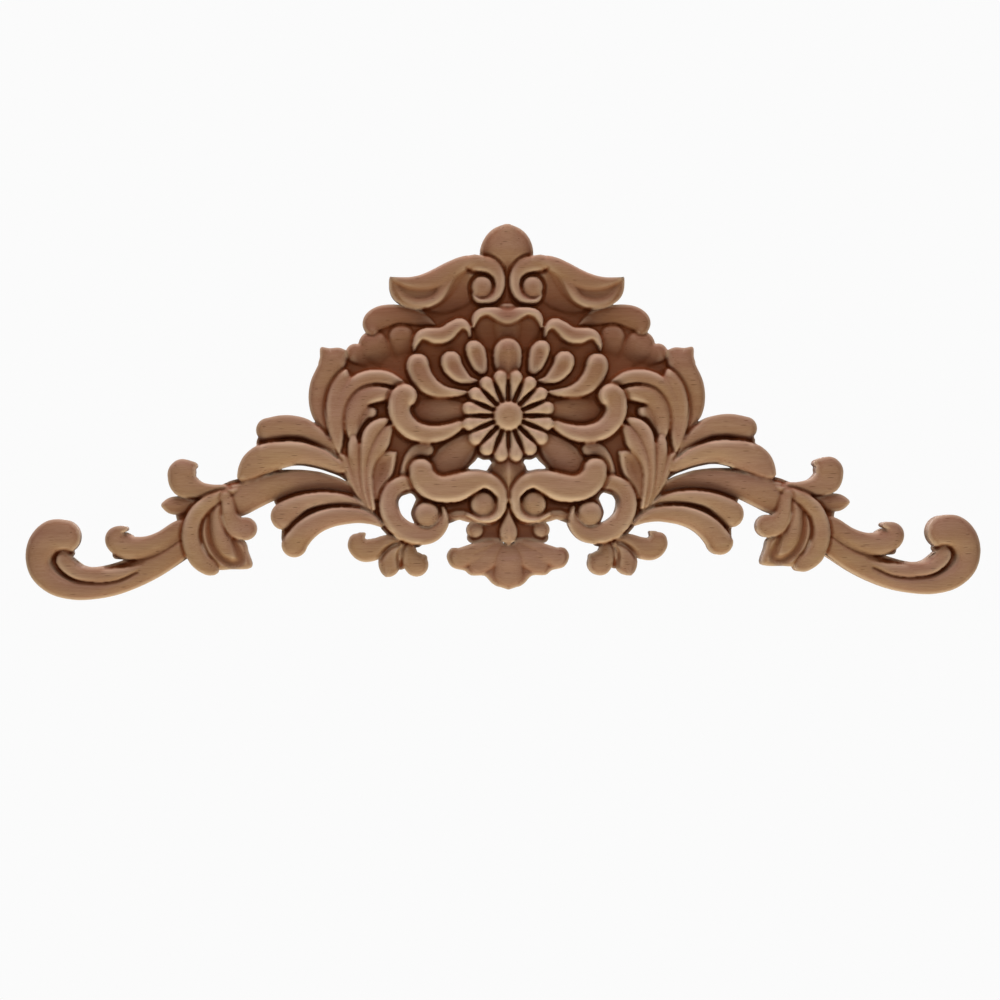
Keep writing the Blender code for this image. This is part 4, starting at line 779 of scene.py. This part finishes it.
def place_points(relief, rings):
    """Start from an even grid, then add points where the surface is missed most."""
    border = np.vstack(rings)
    x, z = np.meshgrid(np.arange(FIRST_SPACING / 2, HALF_REACH, FIRST_SPACING),
                       np.arange(BOTTOM, TOP, FIRST_SPACING))
    grid = np.column_stack([x.ravel(), z.ravel()])
    points = np.vstack([border, grid[relief.distance_out(grid) < -FIRST_CLEARANCE * FIRST_SPACING]])
    limit = len(border) + MOST_INNER_POINTS
    while len(points) < limit:
        corners, triangles = triangulate(points, rings)
        at, error = misses(corners, triangles, relief)[:2]
        worst = error.argmax(axis=1)
        row = np.arange(len(worst))
        error, at = error[row, worst], np.round(at[row, worst], 3)
        wanted = (error > HEIGHT_TOLERANCE) & (relief.distance_out(at) < -EDGE_CLEARANCE)
        wanted &= at[:, 0] > EDGE_CLEARANCE
        order = np.flatnonzero(wanted)[np.argsort(-error[wanted], kind="stable")]
        order = order[:min(max(len(order) // ADDED_SHARE, LEAST_ADDED), limit - len(points))]
        if not len(order):
            break
        points = np.vstack([points, np.unique(at[order], axis=0)])
    return points


def turn_edges(corners, triangles, relief):
    """Turn the edge between two triangles where the other diagonal follows the carving better."""
    triangles = triangles.copy()
    for _ in range(EDGE_TURNS):
        cost = misfit(corners, triangles, relief)
        beside = {}
        for index, (a, b, c) in enumerate(triangles.tolist()):
            beside[a, b] = (index, c)
            beside[b, c] = (index, a)
            beside[c, a] = (index, b)
        pairs = [(left, beside[b, a][0], a, b, c, beside[b, a][1])
                 for (a, b), (left, c) in beside.items() if a < b and (b, a) in beside]
        left, right, a, b, c, d = np.array(pairs).T
        one, two = np.column_stack([c, d, b]), np.column_stack([d, c, a])
        turned = misfit(corners, one, relief) + misfit(corners, two, relief)
        gain = np.where(turned < SLIVER_COST, cost[left] + cost[right] - turned, 0)
        touched = set()
        for k in np.argsort(-gain, kind="stable"):
            if gain[k] < LEAST_GAIN:
                break
            if left[k] not in touched and right[k] not in touched:
                touched |= {left[k], right[k]}
                triangles[left[k]], triangles[right[k]] = one[k], two[k]
        if not touched:
            break
    return triangles


# The mesh


def differences(relief, grid, x, z):
    """How much a grid changes over two raster steps, along x and along z."""
    e = relief.step
    return (relief.sample(x + e, z, grid) - relief.sample(x - e, z, grid),
            relief.sample(x, z + e, grid) - relief.sample(x, z - e, grid))


def drawn_in(relief, x, z, margin):
    """Points moved inwards where they lie nearer the outline than the margin."""
    edge = relief.sample(x, z, relief.outside)
    ex, ez = differences(relief, relief.outside, x, z)
    push = np.clip(edge + margin, 0, margin) / np.maximum(np.hypot(ex, ez), 1e-6)
    return x - push * ex, z - push * ez


def slopes(relief, x, z):
    """Unit normals of the front at points, from the heights beside them."""
    span = 2 * relief.step
    x, z = drawn_in(relief, x, z, span)
    dx, dz = (change / span for change in differences(relief, relief.height, x, z))
    dx[x < 1e-6] = 0
    normals = np.column_stack([-dx, -np.ones(len(x)), -dz])
    return normals / np.linalg.norm(normals, axis=1)[:, None]


def marks_of(relief, x, z):
    """What the painted shade and highlights follow, one column for each of MARKS.

    The first three are millimetres under the mean height at growing reaches, fading out at the outline.
    The last is how near the outline is, from 0 to 1.
    """
    edge = relief.sample(x, z, relief.outside)
    within = np.clip(-edge / OUTLINE_FADE, 0, 1)
    wood = (relief.outside < 0).astype(float)
    grid, passes, marks = relief.height * wood, 0, []
    for reach in REACHES:
        while passes < reach:
            grid, wood = rounded(grid), rounded(wood)
            passes += 1
        level = relief.sample(x, z, grid / np.maximum(wood, 1e-6))
        marks.append((level - relief.sample(x, z)) * within)
    marks.append(np.clip(1 + edge / RIM_WIDTH, 0, 1))
    return np.column_stack(marks)


def closed_mesh(corners, front, back, rings, relief):
    """Carved front, upright sides and flat back of both halves, with the normals of the carving itself."""
    scale = MM * WIDTH / DRAWN_WIDTH
    x, z = corners[:, 0], corners[:, 1]
    heights, tilt, painted_light_marks = relief.sample(x, z), slopes(relief, x, z), marks_of(relief, x, z)
    rim = sum(len(ring) for ring in rings)
    places, faces, normals, marks = [], [], [], []
    count = 0
    for mirror in (1, -1):
        flip = np.array([mirror, 1, 1])
        way = slice(None, None, mirror)
        top = np.column_stack([mirror * x * scale, -heights * MM, z * scale])
        under = top[:rim].copy()
        under[:, 1] = 0
        places += [top, under]
        marks += [painted_light_marks, np.zeros((rim, len(MARKS)))]
        for triangle in front.tolist():
            faces.append(tuple(count + k for k in triangle[way]))
            normals += [tilt[k] * flip for k in triangle[way]]
        below = count + len(top)
        faces += [tuple(below + k for k in triangle[::-1][way]) for triangle in back.tolist()]
        normals += [(0, 1, 0)] * (3 * len(back))
        start = 0
        for ring in rings:
            n = len(ring)
            along = np.roll(ring, -1, axis=0) - ring
            facing = np.column_stack([-along[:, 1], np.zeros(n), along[:, 0]])
            facing /= np.linalg.norm(facing, axis=1)[:, None]
            for k in range(n):
                a, b = start + k, start + (k + 1) % n
                if corners[a][0] == 0 and corners[b][0] == 0:
                    continue
                faces.append((count + a, count + b, below + b, below + a)[way])
                before, after = facing[k - 1], facing[(k + 1) % n]
                at_a = facing[k] + before * (before @ facing[k] > SMOOTH_CORNER)
                at_b = facing[k] + after * (after @ facing[k] > SMOOTH_CORNER)
                normals += list(np.array([at_a, at_b, at_b, at_a])[way] * flip)
            start += n
        count += len(top) + len(under)
    return np.vstack(places), faces, np.array(normals), np.vstack(marks)


def placed(name, data):
    """A new object of the scene."""
    thing = bpy.data.objects.new(name, data)
    bpy.context.scene.collection.objects.link(thing)
    return thing


def carve():
    relief = Relief(RASTER)
    rings = [with_axis_points(thinned_ring(ring, OUTLINE_TOLERANCE), relief)
             for ring in contour_rings(relief) if len(ring) > LEAST_RING]
    points = place_points(relief, rings)
    corners, front = triangulate(points, rings)
    front = turn_edges(corners, front, relief)
    back = triangulate(np.vstack(rings), rings)[1]
    places, faces, normals, marks = closed_mesh(corners, front, back, rings, relief)
    data = bpy.data.meshes.new("carving")
    data.from_pydata(places.tolist(), [], faces)
    # The marks that the painted shade and highlights follow
    for column, name in enumerate(MARKS):
        data.attributes.new(name, "FLOAT", "POINT").data.foreach_set("value", marks[:, column])
    data.attributes.new("turned", "FLOAT_VECTOR", "CORNER").data.foreach_set("vector", normals.ravel())
    mesh = bmesh.new()
    mesh.from_mesh(data)
    bmesh.ops.remove_doubles(mesh, verts=mesh.verts, dist=JOINED_WITHIN)
    mesh.to_mesh(data)
    mesh.free()
    held = np.zeros(len(data.loops) * 3)
    data.attributes["turned"].data.foreach_get("vector", held)
    data.attributes.remove(data.attributes["turned"])
    data.shade_smooth()
    data.normals_split_custom_set(held.reshape(-1, 3).tolist())
    return placed("carving", data)


# The wood


class Nodes:
    """Shorthand for building one node tree."""

    def __init__(self, owner):
        owner.use_nodes = True
        self.tree = owner.node_tree

    def add(self, kind, inputs=(), **settings):
        node = self.tree.nodes.new("ShaderNode" + kind)
        for name, value in settings.items():
            setattr(node, name, value)
        for socket, value in dict(inputs).items():
            self.put(node.inputs[socket], value)
        return node

    def put(self, socket, value):
        if isinstance(value, bpy.types.NodeSocket):
            self.tree.links.new(value, socket)
        else:
            socket.default_value = value

    def math(self, operation, a, b):
        return self.add("Math", {0: a, 1: b}, operation=operation).outputs[0]

    def stretched(self, where, size):
        """Coordinates in which one patch, of a size in millimetres along x, y and z, is 1."""
        return self.add("VectorMath", {0: where, 1: [1000 / s for s in size]},
                        operation="MULTIPLY").outputs[0]

    def noise(self, where, size, detail, roughness, warp):
        node = self.add("TexNoise", {"Vector": self.stretched(where, size), "Scale": 1.0,
                                               "Detail": detail, "Roughness": roughness, "Distortion": warp})
        return node.outputs["Fac"]

    def ranged(self, value, low, high, start=0.0, end=1.0, easing="LINEAR"):
        node = self.add("MapRange", {"Value": value, "From Min": low, "From Max": high,
                                               "To Min": start, "To Max": end}, interpolation_type=easing)
        return node.outputs[0]

    def near(self, coordinate, middle, inner, outer):
        """1 where a coordinate is within inner of its middle, easing to 0 at outer; all in metres."""
        offset = self.math("ABSOLUTE", self.math("SUBTRACT", coordinate, middle), 0.0)
        return self.ranged(offset, outer, inner, easing="SMOOTHSTEP")

    def mix(self, factor, a, b):
        node = self.add("Mix", data_type="RGBA")
        self.put(node.inputs[0], factor)
        self.put(node.inputs[6], a)
        self.put(node.inputs[7], b)
        return node.outputs[2]

    def laid_over(self, colour, layers, sources):
        """The colour under some layers of others."""
        for name, low, high, strength, tone in layers:
            colour = self.mix(self.ranged(sources[name], low, high, 0.0, strength), colour, tone)
        return colour

    def seen_white(self, lit, seen, output):
        """Plain white where the surface is seen or mirrored, its own shader to the rest of the light."""
        path = self.add("LightPath").outputs
        either = self.math("MAXIMUM", path["Is Camera Ray"], path["Is Glossy Ray"])
        choice = self.add("MixShader", {0: either, 1: lit.outputs[0], 2: seen.outputs[0]})
        self.put(self.tree.nodes[output].inputs["Surface"], choice.outputs[0])


def carved_wood():
    """Unfinished close-grained hardwood: fibres and pores along x, painted shade above the rosette and in
    the grooves, recesses and hollows, painted highlights on tops, ridges and the outline.
    """
    material = bpy.data.materials.new("carved_wood")
    n = Nodes(material)
    where = n.add("TexCoord").outputs["Object"]
    sources = {name: n.add("Attribute", attribute_name=name).outputs["Fac"] for name in MARKS}
    sources |= {name: n.noise(where, *figure) for name, figure in FIGURES.items()}
    colour = n.laid_over(PINK_BROWN, FIGURE_LAYERS, sources)

    cells = n.add("TexVoronoi", {"Vector": n.stretched(where, PORE_SIZE), "Scale": 1.0,
                                           "Randomness": 1.0}).outputs
    inside = n.ranged(cells["Distance"], *PORE_EDGE)
    chosen = n.add("SeparateColor", {0: cells["Color"]}).outputs[0]
    pore = n.math("MULTIPLY", inside, n.ranged(chosen, *PORE_CHOICE))
    colour = n.mix(n.math("MULTIPLY", pore, PORE_STRENGTH), colour, PORE)

    # Painted shade over the fan above the rosette, in the shade brown
    place = n.add("SeparateXYZ", {0: where}).outputs
    shade_patch = n.math("MULTIPLY", n.near(place[0], 0.0, *SHADE_PATCH_SPAN),
                   n.near(place[2], SHADE_PATCH_HEIGHT, *SHADE_PATCH_RISE))
    colour = n.mix(n.math("MULTIPLY", shade_patch, SHADE_PATCH_STRENGTH), colour, PAINTED_SHADE_BROWN)
    # Painted shade in the grooves, recesses and hollows, painted highlights on tops, ridges and the outline
    colour = n.laid_over(colour, PAINTED_LIGHT_LAYERS, sources)

    fibre = n.math("MULTIPLY", sources["fibre"], FIBRE_RELIEF)
    height = n.math("ADD", fibre, n.math("MULTIPLY", sources["hair"], HAIR_RELIEF))
    height = n.math("SUBTRACT", height, n.math("MULTIPLY", pore, PORE_RELIEF))
    bump = n.add("Bump", {"Strength": BUMP_STRENGTH, "Distance": BUMP_DISTANCE, "Height": height})

    shader = n.tree.nodes["Principled BSDF"].inputs
    n.put(shader["Base Color"], colour)
    n.put(shader["Roughness"], n.ranged(sources["fibre"], *ROUGH_FIBRE, *ROUGHNESS))
    shader["Specular IOR Level"].default_value = WOOD_SPECULAR
    n.put(shader["Normal"], bump.outputs["Normal"])
    return material


# Floor, backdrop, light and camera


def studio_white():
    """Plain pale paper: even white where it is seen, a matt pale surface to the light."""
    material = bpy.data.materials.new("studio_white")
    n = Nodes(material)
    shader = n.tree.nodes["Principled BSDF"]
    shader.inputs["Base Color"].default_value = PAPER
    shader.inputs["Roughness"].default_value = 1.0
    shader.inputs["Specular IOR Level"].default_value = 0.0
    n.seen_white(shader, n.add("Emission", {"Strength": PAGE_WHITE}), "Material Output")
    return material


def studio():
    """A pale floor that curves up into a pale backdrop behind the carving."""
    sweep = [(BACKDROP - SWEEP + SWEEP * math.sin(a), FLOOR + SWEEP - SWEEP * math.cos(a))
             for a in np.radians(np.linspace(0, 90, SWEEP_POINTS))]
    profile = [(STUDIO_FRONT, FLOOR)] + sweep + [(BACKDROP, STUDIO_TOP)]
    verts = [(x, y, z) for x in (-STUDIO_SIDE, STUDIO_SIDE) for y, z in profile]
    count = len(profile)
    faces = [(k, k + 1, count + k + 1, count + k) for k in range(count - 1)]
    data = bpy.data.meshes.new("studio_floor")
    data.from_pydata(verts, [], faces)
    data.shade_smooth()
    data.materials.append(studio_white())
    floor = placed("studio_floor", data)


def surroundings():
    """A pale world: plain white where it is seen, a weaker white where it lights the wood."""
    world = bpy.data.worlds.new("surroundings")
    bpy.context.scene.world = world
    n = Nodes(world)
    lit = n.tree.nodes["Background"]
    lit.inputs["Color"].default_value = WHITE
    lit.inputs["Strength"].default_value = FILL
    seen = n.add("Background", {"Color": WHITE, "Strength": PAGE_WHITE})
    n.seen_white(lit, seen, "World Output")


def lamp(name, place, size, power, colour):
    """A soft rectangle of light that points at the centre of the rosette."""
    light = bpy.data.lights.new(name, "AREA")
    light.shape = "RECTANGLE"
    light.size, light.size_y = size
    light.energy = power
    light.color = colour
    holder = placed(name, light)
    holder.location = place
    holder.rotation_euler = (Vector((0, 0, 0)) - Vector(place)).to_track_quat("-Z", "Y").to_euler()
    holder.visible_camera = False


def photo_camera():
    """Level camera in front, a little to the left, so that the left end is nearer."""
    data = bpy.data.cameras.new("camera")
    data.sensor_width = SENSOR
    data.lens = LENS
    data.clip_start, data.clip_end = CLIP
    camera = placed("camera", data)
    yaw = math.radians(YAW)
    away = Vector((math.sin(yaw), math.cos(yaw), 0))
    camera.location = Vector(AIM) - away * DISTANCE
    camera.rotation_euler = (math.radians(90), math.radians(ROLL), -yaw)
    bpy.context.scene.camera = camera


carving = carve()
carving.data.materials.append(carved_wood())
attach(carving, "root")
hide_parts("applique")
studio()
surroundings()
for lamp_name, lamp_values in LAMPS.items():
    lamp(lamp_name, *lamp_values)
photo_camera()
bpy.context.scene.view_settings.view_transform = "Standard"
